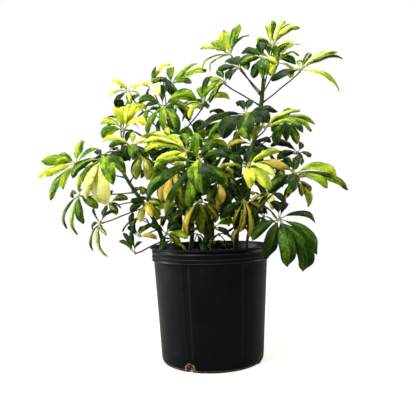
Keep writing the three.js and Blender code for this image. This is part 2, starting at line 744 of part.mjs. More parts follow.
function stalkRoute(leaf, [bow, lean]) {
  const chord = leaf.neck.clone().sub(leaf.seat);
  const length = chord.length();
  const straight = chord.clone().normalize();
  const lift = UP.clone().addScaledVector(straight, -UP.dot(straight)).normalize();
  lift.applyAxisAngle(straight, radians(lean));
  const middle = along(leaf.seat, chord, 0.5).addScaledVector(lift, 1.3 * bow * length);
  const first = along(leaf.seat, leaf.out, STALK.spring * length);
  return [leaf.seat, first, middle, along(leaf.neck, leaf.axis, -STALK.spring * length), leaf.neck];
}

// The rings of a stalk from its foot on the stem to its neck, and the closed tube they bound.
function stalkRings(shell, leaf, route, grown = 0) {
  let side = route.at(-1).clone().sub(route[0]).cross(leaf.out);
  const rings = [];
  for (let k = 0; k <= STALK.steps; k++) {
    const t = k / STALK.steps;
    const tangent = bezierTangent(route, t);
    side = squareTo(side, tangent);
    const across = tangent.clone().cross(side);
    const radius = (k === 0 ? STALK.foot : STALK.radius) + grown;
    const centre = bezier(route, t);
    rings.push(
      Array.from({ length: STALK.sides }, (_, j) => {
        const angle = (j * 2 * Math.PI) / STALK.sides;
        const point = along(centre, side, radius * Math.cos(angle));
        return shell.add(point.addScaledVector(across, radius * Math.sin(angle)));
      }),
    );
  }
  return rings;
}

function stalkSolid(leaf, route, grown) {
  const shell = new Shell();
  const rings = stalkRings(shell, leaf, route, grown);
  rings.slice(1).forEach((high, k) => shell.wall(rings[k], high));
  shell.face(...rings[0].slice().reverse());
  const crown = shell.add(along(leaf.hub, leaf.axis, HUB.dome));
  rings.at(-1).forEach((corner, k, top) => shell.face(corner, top[(k + 1) % top.length], crown));
  return shell.solid();
}

// Where a leaflet's tip may lie, the likeliest first. A seen leaflet turns along the line of sight, and one
// on the far side rises or droops.
function tipChoices(leaf, k) {
  const turns = [0, 0.15, -0.15, 0.3, -0.3, 0.45, -0.45, 0.6, -0.6, 0.8, -0.8, 1, -1, 1.3, -1.3, 1.6, -1.6];
  const sizes = [1, 0.84, 0.7];
  const choices = sizes.flatMap((size) => turns.map((turn) => ({ size, turn })));
  const length = leaf.length * (1 + 0.07 * draw(leaf.index, k + 20));
  if (leaf.tips) {
    const [across, down, swing] = leaf.tips[k];
    const near = -leaf.hub.y;
    const flat = seen([across, down, near]).distanceTo(leaf.hub);
    const depth = Math.sqrt(Math.max(length ** 2 - flat ** 2, (0.35 * length) ** 2));
    return choices.map(({ size, turn }) => {
      const share = THREE.MathUtils.clamp(swing + turn, -1.1, 1.1);
      return { size, turn, tip: leaf.hub.clone().lerp(seen([across, down, near + share * depth]), size) };
    });
  }
  const spoke = compass(leaf.axis).spoke(
    radians(leaf.turn + (360 * k) / leaf.count + 10 * draw(leaf.index, k + 40)),
  );
  return choices.map(({ size, turn }) => {
    const droop = radians(leaf.droop + 9 * draw(leaf.index, k + 60) + 45 * turn);
    const way = spoke.clone().multiplyScalar(Math.cos(droop)).addScaledVector(leaf.axis, -Math.sin(droop));
    return { size, turn, tip: along(leaf.hub, way, size * length) };
  });
}

// A leaflet's frame: the spine, which leaves the hub along its own spoke and arches to the tip, the way its
// face looks at the hub and along the blade, and its full width.
function leafletFrame(leaf, k, { size, turn, tip }) {
  const chord = tip.clone().sub(leaf.hub);
  const length = chord.length();
  const way = chord.clone().normalize();
  const [wide = 1, bend = leaf.bend ?? BLADE.bend] = leaf.tips?.[k].slice(3) ?? [];
  const lift = squareTo(leaf.axis.clone().addScaledVector(UP, 0.6), way);
  const steepest = radians(ROOT.steepest);
  const rise = THREE.MathUtils.clamp(Math.asin(way.dot(leaf.axis)) + bend, -steepest, steepest);
  const root = leaf.roots.find((one) => one.k === k);
  const spoke = compass(leaf.axis).spoke(root.azimuth);
  const start = spoke.multiplyScalar(Math.cos(rise)).addScaledVector(leaf.axis, Math.sin(rise));
  const first = along(leaf.hub, start, ROOT.lead * length);
  const middle = along(leaf.hub, chord, 0.6).addScaledVector(lift, bend * length);
  const open = leaf.tips ? (leaf.open ?? BLADE.open) : 0;
  const face = squareTo(along(leaf.axis, new THREE.Vector3(0, -1, 0), open), way);
  face.applyAxisAngle(way, radians(BLADE.roll * draw(leaf.index, k)));
  const share = BLADE.width * wide * (1 + 0.1 * draw(leaf.index, k + 80));
  const width = share * Math.max(length, 0.8 * leaf.length);
  const joint = along(leaf.hub, start, Math.max(ROOT.length * leaf.length, 2 * HUB.radius));
  // The least likely leaflets are stunted ones, then those that turn far from their own spoke.
  const odd = 10 * (1 - size) + 1 - start.dot(way) + 0.15 * Math.abs(turn);
  if (length < 0.45 * leaf.length) return null;
  const spine = [leaf.hub, first, middle, tip];
  return { odd, root, start, joint, axis: leaf.axis, spine, face, width, tip };
}

// Where a leaflet's cross-sections lie and how they are turned: the end of its little stalk, then two of its
// blade.
function leafletSections(frame) {
  const turned = (centre, tangent, face, half, arch) => {
    const side = tangent.clone().cross(face).normalize();
    return { centre, tangent, side, up: side.clone().cross(tangent), half, arch };
  };
  return [
    turned(frame.joint, frame.start, frame.axis, BLADE.stemWidth / 2, 0),
    ...STATIONS.map(({ s, width }) => {
      const [centre, tangent] = [bezier(frame.spine, s), bezierTangent(frame.spine, s)];
      return turned(centre, tangent, frame.face, (frame.width * width) / 2, BLADE.arch * frame.width);
    }),
  ];
}

// A leaflet that folds back or twists sharply between its sections isn't one that grows.
function isSound(frame) {
  const sections = leafletSections(frame);
  return sections.every((far, i) => {
    const near = sections[i - 1];
    if (!near) return true;
    const step = far.centre.clone().sub(near.centre).normalize();
    return step.dot(near.tangent) > 0.3 && step.dot(far.tangent) > 0.4 && near.side.dot(far.side) > 0.2;
  });
}

// The corners of a cross-section: left edge, top of the rib, right edge, bottom of the rib.
function sectionCorners(shell, { centre, side, up, half, arch }, grown = 0) {
  const thick = BLADE.thick / 2 + grown / 2;
  return [
    shell.add(along(centre, side, -half - grown / 2)),
    shell.add(along(centre, up, arch + thick)),
    shell.add(along(centre, side, half + grown / 2)),
    shell.add(along(centre, up, arch - thick)),
  ];
}

// The skin between two cross-sections, split alike on both faces.
function bladeSkin(shell, [l, t, r, b], [farL, farT, farR, farB]) {
  shell.face(t, r, farR);
  shell.face(t, farR, farT);
  shell.face(l, t, farL);
  shell.face(t, farT, farL);
  shell.face(r, b, farR);
  shell.face(b, farB, farR);
  shell.face(b, l, farL);
  shell.face(b, farL, farB);
}

function bladeTip(shell, [l, t, r, b], point) {
  const tip = shell.add(point);
  shell.face(t, r, tip);
  shell.face(l, t, tip);
  shell.face(r, b, tip);
  shell.face(b, l, tip);
}

// A leaflet's blade by itself, a little fatter than it is, to test against its neighbours.
function bladeSolid(frame, grown) {
  const shell = new Shell();
  const sections = leafletSections(frame).map((section) => sectionCorners(shell, section, grown));
  shell.face(...sections[0].slice().reverse());
  bladeSkin(shell, sections[0], sections[1]);
  bladeSkin(shell, sections[1], sections[2]);
  bladeTip(shell, sections[2], frame.tip);
  return shell.solid();
}

// The corners of the hub's side from which a leaflet grows, in the order of a section's: left, top, right and
// bottom become the four corners from the top left one round.
function hubSide(shell, leaf, root, grown = 0) {
  const { spoke } = compass(leaf.axis);
  const corner = (which, height) =>
    shell.add(along(leaf.hub, leaf.axis, height).addScaledVector(spoke(leaf.corners[which]), HUB.radius));
  const [above, below] = [HUB.above + grown / 2, -HUB.below - grown / 2];
  const { low, high } = root;
  return [corner(high, above), corner(low, above), corner(low, below), corner(high, below)];
}

// The skin of the little stalk between the hub's side and a leaflet's first section.
function rootSkin(shell, [topHigh, topLow, bottomLow, bottomHigh], [l, t, r, b]) {
  shell.face(topHigh, topLow, t);
  shell.face(topLow, r, t);
  shell.face(topHigh, t, l);
  shell.face(topLow, bottomLow, r);
  shell.face(bottomLow, b, r);
  shell.face(bottomLow, bottomHigh, b);
  shell.face(bottomHigh, l, b);
  shell.face(bottomHigh, topHigh, l);
}

function rootSolid(leaf, frame, grown = 0) {
  const shell = new Shell();
  const side = hubSide(shell, leaf, frame.root, grown);
  const first = sectionCorners(shell, leafletSections(frame)[0], grown);
  rootSkin(shell, side, first);
  shell.face(...side.slice().reverse());
  shell.face(...first);
  return shell.solid();
}

// Solids that stand already, each with its box and the leaf that owns it. What grows later is kept well clear
// of them, and only just clear of its own leaf's.
class Thicket {
  taken = [];

  add(solid, owner) {
    this.taken.push({ solid, owner, box: solid.boundingBox() });
  }

  isClear(fat, slim, asker) {
    return this.taken.every(({ solid: other, owner, box: theirs }) => {
      const solid = owner !== undefined && owner === asker ? slim : fat;
      const box = solid.boundingBox();
      const apart = [0, 1, 2].some((i) => box.min[i] > theirs.max[i] || box.max[i] < theirs.min[i]);
      return apart || solid.intersect(other).volume() < TOUCH;
    });
  }
}

// One closed skin for a whole compound leaf.
function makeLeaf(leaf, route, frames) {
  const shell = new Shell();
  const { spoke, azimuth } = compass(leaf.axis);
  const ringAt = (height) => {
    const centre = along(leaf.hub, leaf.axis, height);
    return leaf.corners.map((angle) => shell.add(along(centre, spoke(angle), HUB.radius)));
  };
  const top = ringAt(HUB.above);
  const bottom = ringAt(-HUB.below);
  const crown = shell.add(along(leaf.hub, leaf.axis, HUB.dome));
  top.forEach((corner, i) => shell.face(crown, corner, top[(i + 1) % top.length]));

  // Leaflets, each from its own side of the hub.
  for (const frame of frames) {
    const { low, high } = frame.root;
    const [near, middle, far] = leafletSections(frame).map((section) => sectionCorners(shell, section));
    rootSkin(shell, [top[high], top[low], bottom[low], bottom[high]], near);
    bladeSkin(shell, near, middle);
    bladeSkin(shell, middle, far);
    bladeTip(shell, far, frame.tip);
  }
  // Bare sides of the hub.
  const leafy = new Set(frames.map(({ root }) => root.low));
  top.forEach((corner, i) => {
    const next = (i + 1) % top.length;
    if (!leafy.has(i)) shell.face(bottom[i], bottom[next], top[next], corner);
  });

  // Stalk, from its neck down to the stem.
  const rings = stalkRings(shell, leaf, route);
  rings.slice(1).forEach((high, k) => shell.wall(rings[k], high));
  shell.face(...rings[0].slice().reverse());
  const sorted = (ring) =>
    ring
      .map((corner) => ({ corner, angle: azimuth(shell.vertices[corner].clone().sub(leaf.neck)) }))
      .sort((a, b) => a.angle - b.angle);
  const low = sorted(rings.at(-1));
  const high = sorted(bottom);
  let i = 0;
  let j = 0;
  while (i < low.length || j < high.length) {
    const atLow = low[i % low.length].corner;
    const atHigh = high[j % high.length].corner;
    const nextLow = i < low.length - 1 ? low[i + 1].angle : low[0].angle + 2 * Math.PI;
    const nextHigh = j < high.length - 1 ? high[j + 1].angle : high[0].angle + 2 * Math.PI;
    if (j >= high.length || (i < low.length && nextLow < nextHigh)) {
      shell.face(atLow, low[(i + 1) % low.length].corner, atHigh);
      i++;
    } else {
      shell.face(atLow, high[(j + 1) % high.length].corner, atHigh);
      j++;
    }
  }
  return shell;
}

// ---------------------------------------------------------------- assembly

const plant = new THREE.Group();
plant.name = "potted_umbrella_plant";

const plain = (color, roughness) => {
  return new THREE.MeshStandardMaterial({ color, roughness, metalness: 0, side: THREE.DoubleSide });
};
const finishes = {
  pot: plain("#1b1c1d", 0.45),
  soil: plain("#2b1d14", 0.95),
  stem: plain("#3e4a26", 0.75),
  leaf: plain("#5d8a2c", 0.4),
};

function addPiece(name, geometry, finish) {
  const mesh = new THREE.Mesh(geometry, finishes[finish]);
  mesh.name = name;
  plant.add(mesh);
  return mesh;
}

const thicket = new Thicket();
const pot = makePot();
const soil = makeSoil();
addPiece("pot", geometryOf(pot), "pot");
addPiece("soil", geometryOf(soil), "soil");
thicket.add(pot);
thicket.add(soil);
const stemMeshes = STEMS.map(({ name }, i) => {
  const stem = makeStem(i);
  thicket.add(stem.solid());
  return addPiece(name, stem.geometry(), "stem");
});

const leaves = [...SEEN_LEAVES, ...BACK_LEAVES].map(placeLeaf);
// Stalks find their way first, then the leaflets open into the room that is left.
for (const leaf of leaves) {
  const routes = BOWS.map((bow) => stalkRoute(leaf, bow));
  leaf.route = routes.find((route) => thicket.isClear(stalkSolid(leaf, route, 0.2)));
  thicket.add(makeLeaf(leaf, leaf.route, []).solid(), leaf.index);
}
for (const leaf of leaves) {
  leaf.frames = [];
  for (let k = 0; k < leaf.count; k++) {
    const frame = tipChoices(leaf, k)
      .map((choice) => leafletFrame(leaf, k, choice))
      .filter((choice) => choice && isSound(choice))
      .sort((a, b) => a.odd - b.odd)
      .find((choice) => {
        const blade = bladeSolid(choice, 0);
        const root = rootSolid(leaf, choice);
        return (
          blade.intersect(root).volume() < TOUCH &&
          thicket.isClear(bladeSolid(choice, CLEAR), blade, leaf.index) &&
          thicket.isClear(rootSolid(leaf, choice, CLEAR), root, leaf.index)
        );
      });
    // A leaflet that finds no room doesn't grow.
    if (!frame) continue;
    leaf.frames.push(frame);
    thicket.add(bladeSolid(frame, 0), leaf.index);
    thicket.add(rootSolid(leaf, frame), leaf.index);
  }
}
leaves.forEach((leaf, i) => {
  const name = `leaf_${String(i + 1).padStart(2, "0")}`;
  addPiece(name, makeLeaf(leaf, leaf.route, leaf.frames).geometry(), "leaf");
});

export default plant;
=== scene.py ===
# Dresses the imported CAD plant: a variegated dwarf umbrella tree in a round black nursery pot.
# Metres, in the CAD model's frame: +Z up, the origin at the centre of the pot's flat underside, front to -Y.
import functools
import math

import bmesh
import bpy
from mathutils import Matrix, Vector


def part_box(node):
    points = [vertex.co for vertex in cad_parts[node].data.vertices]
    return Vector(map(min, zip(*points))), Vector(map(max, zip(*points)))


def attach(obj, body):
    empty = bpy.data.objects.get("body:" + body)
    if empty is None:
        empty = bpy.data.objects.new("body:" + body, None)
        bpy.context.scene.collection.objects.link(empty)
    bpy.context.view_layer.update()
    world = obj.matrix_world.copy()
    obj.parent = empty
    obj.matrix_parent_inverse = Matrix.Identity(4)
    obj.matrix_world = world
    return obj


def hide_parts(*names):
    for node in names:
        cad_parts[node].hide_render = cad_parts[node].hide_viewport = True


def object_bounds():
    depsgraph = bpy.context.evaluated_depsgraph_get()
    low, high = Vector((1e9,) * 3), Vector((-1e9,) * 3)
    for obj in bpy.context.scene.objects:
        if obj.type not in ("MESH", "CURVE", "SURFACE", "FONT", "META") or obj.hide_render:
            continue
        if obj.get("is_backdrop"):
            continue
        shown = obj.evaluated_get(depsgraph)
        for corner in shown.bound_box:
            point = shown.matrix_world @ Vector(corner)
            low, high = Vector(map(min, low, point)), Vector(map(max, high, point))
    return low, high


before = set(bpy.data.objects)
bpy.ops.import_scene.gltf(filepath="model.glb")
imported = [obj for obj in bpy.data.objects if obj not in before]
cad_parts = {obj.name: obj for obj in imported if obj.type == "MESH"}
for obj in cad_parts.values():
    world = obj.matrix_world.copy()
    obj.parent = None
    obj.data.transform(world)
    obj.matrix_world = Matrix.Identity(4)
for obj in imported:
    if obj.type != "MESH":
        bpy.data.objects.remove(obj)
cad_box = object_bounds()

bl_info = {
    "name": "Potted umbrella plant",
    "version": (1, 0, 0),
    "blender": (4, 5, 0),
    "location": "View3D > Sidebar > Plant",
    "description": "Finishes the plant's leaves, stems, potting mix and nursery pot, and sets its stage",
    "category": "Object",
}

MM = 0.001
UP = Vector((0, 0, 1))
LEAVES = sorted(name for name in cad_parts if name.startswith("leaf_"))
STEMS = sorted(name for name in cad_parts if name.startswith(("stem_", "shoot_")))

# Round the pot, in degrees: six shallow channels pressed into its wall and four drain holes in its foot.
FIRST_RIB, RIB_SPACING = -115, 60
FIRST_DRAIN, DRAINS = -115, 4
RIB_HALF, RIB_DEPTH, RIB_FOOT, RIB_GAP = 6.5 * MM, 1.2 * MM, 24 * MM, 3 * MM
DRAIN_RADIUS, DRAIN_LEVEL, DRAIN_TILT = 8.5 * MM, 8.5 * MM, math.radians(72)

# How far the pot's parts lie in from its lip, and how high its collar is.
BASE_IN, SHOULDER_IN, COLLAR_IN, COLLAR_HIGH = 20 * MM, 8 * MM, 4.2 * MM, 28.5 * MM
# The wall's section as a nursery pot of this size has it, in millimetres out and up: its rounded foot and
# widening wall, the turn under the collar, the collar with two thin beads, the lip's underside and its top.
FOOT_SECTION = [
    (-8.0, 0), (-5.6, 0.4), (-3.4, 1.6), (-2.0, 3.2), (-1.3, 4.8), (-0.7, 6.4), (-0.2, 9), (0, 12), (0.4, 16),
    (0.7, 21), (1.2, 28), (3.0, 60), (6.0, 110), (9.0, 160),
]
SHOULDER_SECTION = [(-0.7, -12), (-0.3, -4), (0.3, -1.4)]
COLLAR_SECTION = [
    (-0.7, 0), (0, 0.9), (-0.4, 2.2), (-0.8, 6.2), (-0.4, 7.2), (0.6, 8.0), (-0.3, 9.2), (-0.7, 15.4),
    (-0.2, 16.6), (0.8, 17.6), (-0.1, 18.9), (-0.5, 23.6),
]
LIP_SECTION = [(-2.0, 24.6), (-0.4, 25.4), (0, 26.6)]
LIP_TOP_SECTION = [(-0.3, -0.9), (-1.2, -0.2), (-2.2, 0), (-3.2, -0.3), (-3.8, -1.4)]
BEADS = (0.9 * MM, 8.0 * MM, 17.6 * MM, 25.6 * MM)

# The blade of a leaflet as it is drawn flat: how far along it each row of corners lies, and the row's share
# of the full width.
BLADE_ROWS = [
    (0.0, 0.07), (0.05, 0.17), (0.12, 0.36), (0.21, 0.60), (0.32, 0.80), (0.45, 0.94),
    (0.58, 1.0), (0.70, 0.97), (0.81, 0.85), (0.90, 0.62), (0.96, 0.31), (1.0, 0.04),
]
BLADE_COLUMNS = 4
BROAD = 1.35  # how much wider than its solid a broad leaflet is
# A leaflet in the solids: its thickness along the rib, and the least way from its last section to its tip.
SOLID_THICK, SHORTEST_TIP = 1.5 * MM, 4 * MM
STALK_SIDES = 8
STEM_STATIONS, STALK_STATIONS, RIB_STATIONS = 60, 24, 9

# The photograph's camera: where it stands, how it is tipped and rolled, and its focal length in pixels.
IMAGE, FOCAL = 416, 515
CAMERA_PLACE = Vector((-2.6, -1089, 322.9)) * MM
CAMERA_PITCH, CAMERA_ROLL = math.radians(-0.262), math.radians(1.47)

# Small leaves between the stems, too many for the CAD model: the pixel of the photograph where each one's hub
# shows, its depth behind the pot's axis in millimetres, its leaflets' length in millimetres, and their looks.
INNER_LEAVES = [
    (215, 150, 20, 62, "dddvdd"), (233, 152, 60, 60, "ddkddd"), (262, 148, 40, 56, "dddvd"),
    (250, 178, 40, 52, "dvddv"), (222, 172, 0, 48, "vkdvk"), (160, 160, 30, 52, "vdkvv"),
    (190, 182, 30, 52, "kvdkv"), (205, 168, 80, 60, "dddddd"), (178, 150, 60, 58, "dgddgd"),
    (152, 200, 0, 42, "vkvd"), (205, 205, 15, 46, "vdkvd"), (226, 205, 15, 46, "dvdkd"),
    (255, 200, 10, 42, "vkdv"), (284, 168, 60, 48, "dvdd"), (118, 150, 20, 40, "ddgd"),
    (166, 216, 20, 38, "dvd"), (196, 228, -20, 32, "vdkv"), (214, 241, -62, 27, "dddgd"),
    (172, 240, -70, 30, "vdv"), (240, 226, -30, 34, "dvkd"), (228, 214, -20, 40, "dvd"),
    (186, 212, -20, 38, "dvvd"), (262, 204, -20, 40, "vkvd"), (250, 216, 20, 44, "vdvkd"),
    (131, 131, 20, 28, "dgdd"), (163, 78, 20, 34, "gdnd"), (104, 154, -40, 36, "gddg"),
    (141, 188, -20, 36, "gdv"), (252, 192, -10, 30, "dvd"), (264, 216, -40, 32, "dvd"),
    (197, 234, -30, 26, "dgd"), (219, 234, -20, 26, "vdd"), (137, 218, -50, 30, "vdk"),
    (148, 110, 30, 38, "gdgd"),
]

# How a leaflet is coloured: the share of it that is light, how far its light parts go to cream, how golden
# it is, partly with age and partly as painted shade, how fresh its green is, how much lighter it is along
# the rib than at the edge, and how much lighter on one side of the rib than on the other.
LOOKS = {
    "d": (0.04, 0.0, 0.0, 0.0, 0.1, 0.0),  # dark green
    "g": (0.26, 0.0, 0.0, 0.1, 0.1, 0.1),  # green
    "j": (0.14, 0.0, 0.0, 0.4, 0.15, 0.05),  # dark green, softly mottled
    "n": (0.40, 0.0, 0.0, 0.5, 0.1, 0.0),  # middle green
    "i": (0.58, 0.1, 0.0, 0.7, 0.05, 0.05),  # soft lime
    "f": (0.42, 0.0, 0.0, 1.0, 0.2, 0.1),  # fresh young green
    "t": (0.27, 0.0, 0.0, 0.1, 0.35, 0.1),  # dark, with a green middle
    "m": (0.48, 0.1, 0.0, 0.4, 0.3, 0.2),  # green, mottled with lime
    "s": (0.24, 0.3, 0.0, 0.1, 0.7, 0.2),  # dark, with a lime stripe
    "h": (0.42, 0.3, 0.0, 0.2, 0.1, 0.5),  # lime on one side of the rib, dark on the other
    "l": (0.68, 0.1, 0.0, 0.7, 0.2, 0.1),  # lime
    "y": (0.82, 0.2, 0.0, 0.7, 0.2, 0.1),  # yellow
    "e": (0.62, 0.5, 0.0, 0.3, 1.1, 0.1),  # pale yellow, with a dark edge
    "c": (0.90, 0.9, 0.0, 0.3, 0.4, 0.1),  # cream
    "p": (0.76, 0.8, 0.2, 0.1, 0.3, 0.1),  # pale olive
    "o": (0.74, 0.8, 0.9, 0.0, 0.3, 0.1),  # golden
    "k": (0.52, 0.7, 0.9, 0.0, 0.9, 0.2),  # golden, with a dark edge
    "v": (0.34, 0.4, 0.7, 0.0, 0.3, 0.2),  # olive
}
# The looks of the leaflets of leaf_01, leaf_02 and so on, clockwise from twelve as the front sees them; a
# capital stands for a broad leaflet.
LEAFLET_LOOKS = """
    hcemchdl mlllll ehdsdd gdddd dmsmns gnniiiii msegldl hhigggdn nmniidgg dlcdyy yyedyyl velldsm ylynlyy
    ddgydg cvgdgyl nninyin dghCchsg ggghgg dkechdd dvdvdd dsdd vvodd koopvd gdTTmgghf flyyleyf ylycl fffff
    ddDtDdd eyhmlfll tnnggd gyoeyylg dvdgvd ginngggg kklkko ddjjjdjd odpvkkv vkdkkvd vkvvdkd vddokvd vkvoovv
    vkdddv vvpppvv dvvvdd dddddkd dvlvvd fddld lgmglg ggmggmgg dgdgdgdg gmgdgmgg gtmgltgm tgmdgtlg gtdmgtmg
""".split()

# The soft lights: name, place, the height on the plant's axis that each is turned to, the width of its disc,
# and its power as a share of the key light's.
LIGHTS = [
    ("key_light", (-1.3, -1.5, 2.1), 0.38, 0.6, 1.0), ("top_light", (0.5, 0.3, 2.4), 0.38, 1.2, 0.35),
    ("left_light", (-1.9, 0.2, 0.7), 0.2, 1.2, 0.55), ("right_light", (1.9, 0.5, 0.7), 0.2, 0.7, 0.1),
]


# ------------------------------------------------------------------ settings


class PotSettings(bpy.types.PropertyGroup):
    segments: bpy.props.IntProperty(
        name="Segments", description="Flat faces round the pot", default=288, min=72, max=360)
    wall: bpy.props.FloatProperty(
        name="Wall", description="Thickness of the pot's wall", default=2 * MM, subtype="DISTANCE",
        unit="LENGTH")
    colour: bpy.props.StringProperty(
        name="Colour", description="Polyethylene, as an sRGB hex value", default="#030406")


class SoilSettings(bpy.types.PropertyGroup):
    bumps: bpy.props.FloatProperty(
        name="Bumps", description="Height of the potting mix's clods", default=5 * MM, subtype="DISTANCE",
        unit="LENGTH")
    chips: bpy.props.IntProperty(
        name="Bark chips", description="Pieces of bark lying on the potting mix", default=170, min=1, max=400)
    colour: bpy.props.StringProperty(
        name="Colour", description="Damp peat, as an sRGB hex value", default="#2a1c12")


class CrumbSettings(bpy.types.PropertyGroup):
    count: bpy.props.IntProperty(
        name="Crumbs", description="Crumbs of dry potting mix in each drain hole", default=44, min=1, max=120)


class StemSettings(bpy.types.PropertyGroup):
    sides: bpy.props.IntProperty(
        name="Sides", description="Flat faces round a stem", default=16, min=8, max=48)
    colour: bpy.props.StringProperty(
        name="Colour", description="Young bark, as an sRGB hex value", default="#2c2f16")


class LeafSettings(bpy.types.PropertyGroup):
    thickness: bpy.props.FloatProperty(
        name="Thickness", description="Thickness of a blade", default=0.7 * MM, subtype="DISTANCE",
        unit="LENGTH")
    wave: bpy.props.FloatProperty(
        name="Wave", description="How far a blade's edge waves, as a share of its width", default=0.09, min=0,
        max=0.2, subtype="FACTOR")
    dark: bpy.props.StringProperty(
        name="Dark green", description="Dark parts of a blade, as an sRGB hex value", default="#0d1c03")
    lime: bpy.props.StringProperty(
        name="Lime", description="Pale green parts of a blade, as an sRGB hex value", default="#7a8f10")
    yellow: bpy.props.StringProperty(
        name="Yellow", description="Light parts of a blade, as an sRGB hex value", default="#b8bb1c")


class StageSettings(bpy.types.PropertyGroup):
    floor: bpy.props.FloatProperty(
        name="Floor", description="Radius of the pale floor", default=1.7, subtype="DISTANCE", unit="LENGTH")
    ceiling: bpy.props.FloatProperty(
        name="Ceiling", description="Brightness of the white room overhead, as a light", default=0.9, min=0,
        max=3)
    walls: bpy.props.FloatProperty(
        name="Walls", description="Brightness of the white room at eye level, as a light", default=0.2, min=0,
        max=3)
    key: bpy.props.FloatProperty(
        name="Key light", description="Power of the large soft light", default=108.0, subtype="POWER",
        unit="POWER")


# ------------------------------------------------------------------ small helpers


def draw(*numbers):
    """A repeatable draw between -1 and 1 for some whole numbers."""
    total = sum((number + 1) * factor for number, factor in zip(numbers, (12.9898, 78.233, 37.719)))
    value = math.sin(total) * 43758.5453
    return 2 * (value - math.floor(value)) - 1


def colour(text):
    """An sRGB hex value as linear colour."""
    parts = [int(text[i : i + 2], 16) / 255 for i in (1, 3, 5)]
    linear = [c / 12.92 if c <= 0.04045 else ((c + 0.055) / 1.055) ** 2.4 for c in parts]
    return (*linear, 1.0)


def add_node(tree, kind, inputs=(), stops=(), **settings):
    """A shader node with its settings, its inputs in order or by name, and a colour ramp's stops. An input is
    a value, an sRGB hex value, a socket, or a node, which stands for its first output."""
    node = tree.nodes.new("ShaderNode" + kind)
    for key, value in settings.items():
        setattr(node, key, value)
    if not isinstance(inputs, dict):
        in_use = [i for i, socket in enumerate(node.inputs) if socket.enabled]
        inputs = dict(zip(in_use, inputs))
    for key, value in inputs.items():
        if isinstance(value, bpy.types.Node):
            value = next(socket for socket in value.outputs if socket.enabled)
        if isinstance(value, bpy.types.NodeSocket):
            tree.links.new(value, node.inputs[key])
        else:
            node.inputs[key].default_value = colour(value) if isinstance(value, str) else value
    for i, (place, shade) in enumerate(stops):
        elements = node.color_ramp.elements
        element = elements[i] if i < len(elements) else elements.new(place)
        element.position = place
        element.color = colour(shade)
    return node


def new_material(name):
    """An empty material, and what adds a node to it."""
    material = bpy.data.materials.new(name)
    material.use_nodes = True
    material.node_tree.nodes.clear()
    return material, functools.partial(add_node, material.node_tree)


def deselect():
    bpy.ops.object.select_all(action="DESELECT")


def activate(*pieces):
    """Selects these objects alone and makes the first one active."""
    deselect()
    for piece in pieces:
        piece.select_set(True)
    bpy.context.view_layer.objects.active = pieces[0]


def finish_piece(piece, name, nodes=()):
    """Names a piece, fixes its place in its mesh, and lets it ride with the plant."""
    activate(piece)
    bpy.ops.object.transform_apply(location=True, rotation=True, scale=True)
    piece.name = name
    piece.data.name = name
    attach(piece, "root")
    if nodes:
        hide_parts(*nodes)


def modify(piece, kind, **settings):
    """Applies a modifier with these settings to a piece."""
    modifier = piece.modifiers.new(kind, kind)
    for key, value in settings.items():
        setattr(modifier, key, value)
    activate(piece)
    bpy.ops.object.modifier_apply(modifier=modifier.name)


def add_object(name, data):
    """A new object in the scene."""
    piece = bpy.data.objects.new(name, data)
    bpy.context.scene.collection.objects.link(piece)
    return piece


def select_where(piece, test):
    """In edit mode, selects the corners whose places pass a test."""
    mesh = bmesh.from_edit_mesh(piece.data)
    for corner in mesh.verts:
        corner.select = test(corner.co)
    mesh.select_flush_mode()
    bmesh.update_edit_mesh(piece.data)


def lay_copies(small, moves, material, name):
    """Lays a copy of a small piece at each of some moves and joins them into one finished piece."""
    copies = [add_object(name, small.data.copy()) for _ in moves]
    for copy, move in zip(copies, moves):
        copy.data.transform(move)
    bpy.data.objects.remove(small)
    activate(*copies)
    bpy.ops.object.join()
    copies[0].data.materials.append(material)
    finish_piece(copies[0], name)


def spline(points, share):
    """A point of the smooth curve through some points, at a share of its length."""
    lengths = [(b - a).length for a, b in zip(points, points[1:])]
    left = share * sum(lengths)
    i = 0
    while i < len(lengths) - 1 and left > lengths[i]:
        left -= lengths[i]
        i += 1
    a, b = points[i], points[i + 1]
    before = points[i - 1] if i > 0 else a * 2 - b
    after = points[i + 2] if i + 2 < len(points) else b * 2 - a
    t = min(1.0, left / lengths[i])
    start = (b - before) * (lengths[i] / ((b - a).length + (a - before).length))
    end = (after - a) * (lengths[i] / ((after - b).length + (b - a).length))
    square, cube = t * t, t * t * t
    return (
        a * (2 * cube - 3 * square + 1) + start * (cube - 2 * square + t)
        + b * (3 * square - 2 * cube) + end * (cube - square)
    )


def camera_turn():
    """How the photograph's camera is turned: its right, its up and the way behind it, as columns."""
    pitch, roll = CAMERA_PITCH, CAMERA_ROLL
    right = Vector((math.cos(roll), math.sin(roll) * math.sin(pitch), -math.sin(roll) * math.cos(pitch)))
    back = Vector((0, -math.cos(pitch), -math.sin(pitch)))
    return Matrix((right, back.cross(right), back)).transposed()


def seen_at(across, down, depth):
    """The place at a depth behind the pot's axis that shows at a pixel of the photograph."""
    way = camera_turn() @ Vector((across - IMAGE / 2, IMAGE / 2 - down, -FOCAL))
    return CAMERA_PLACE + way * ((depth - CAMERA_PLACE.y) / way.y)


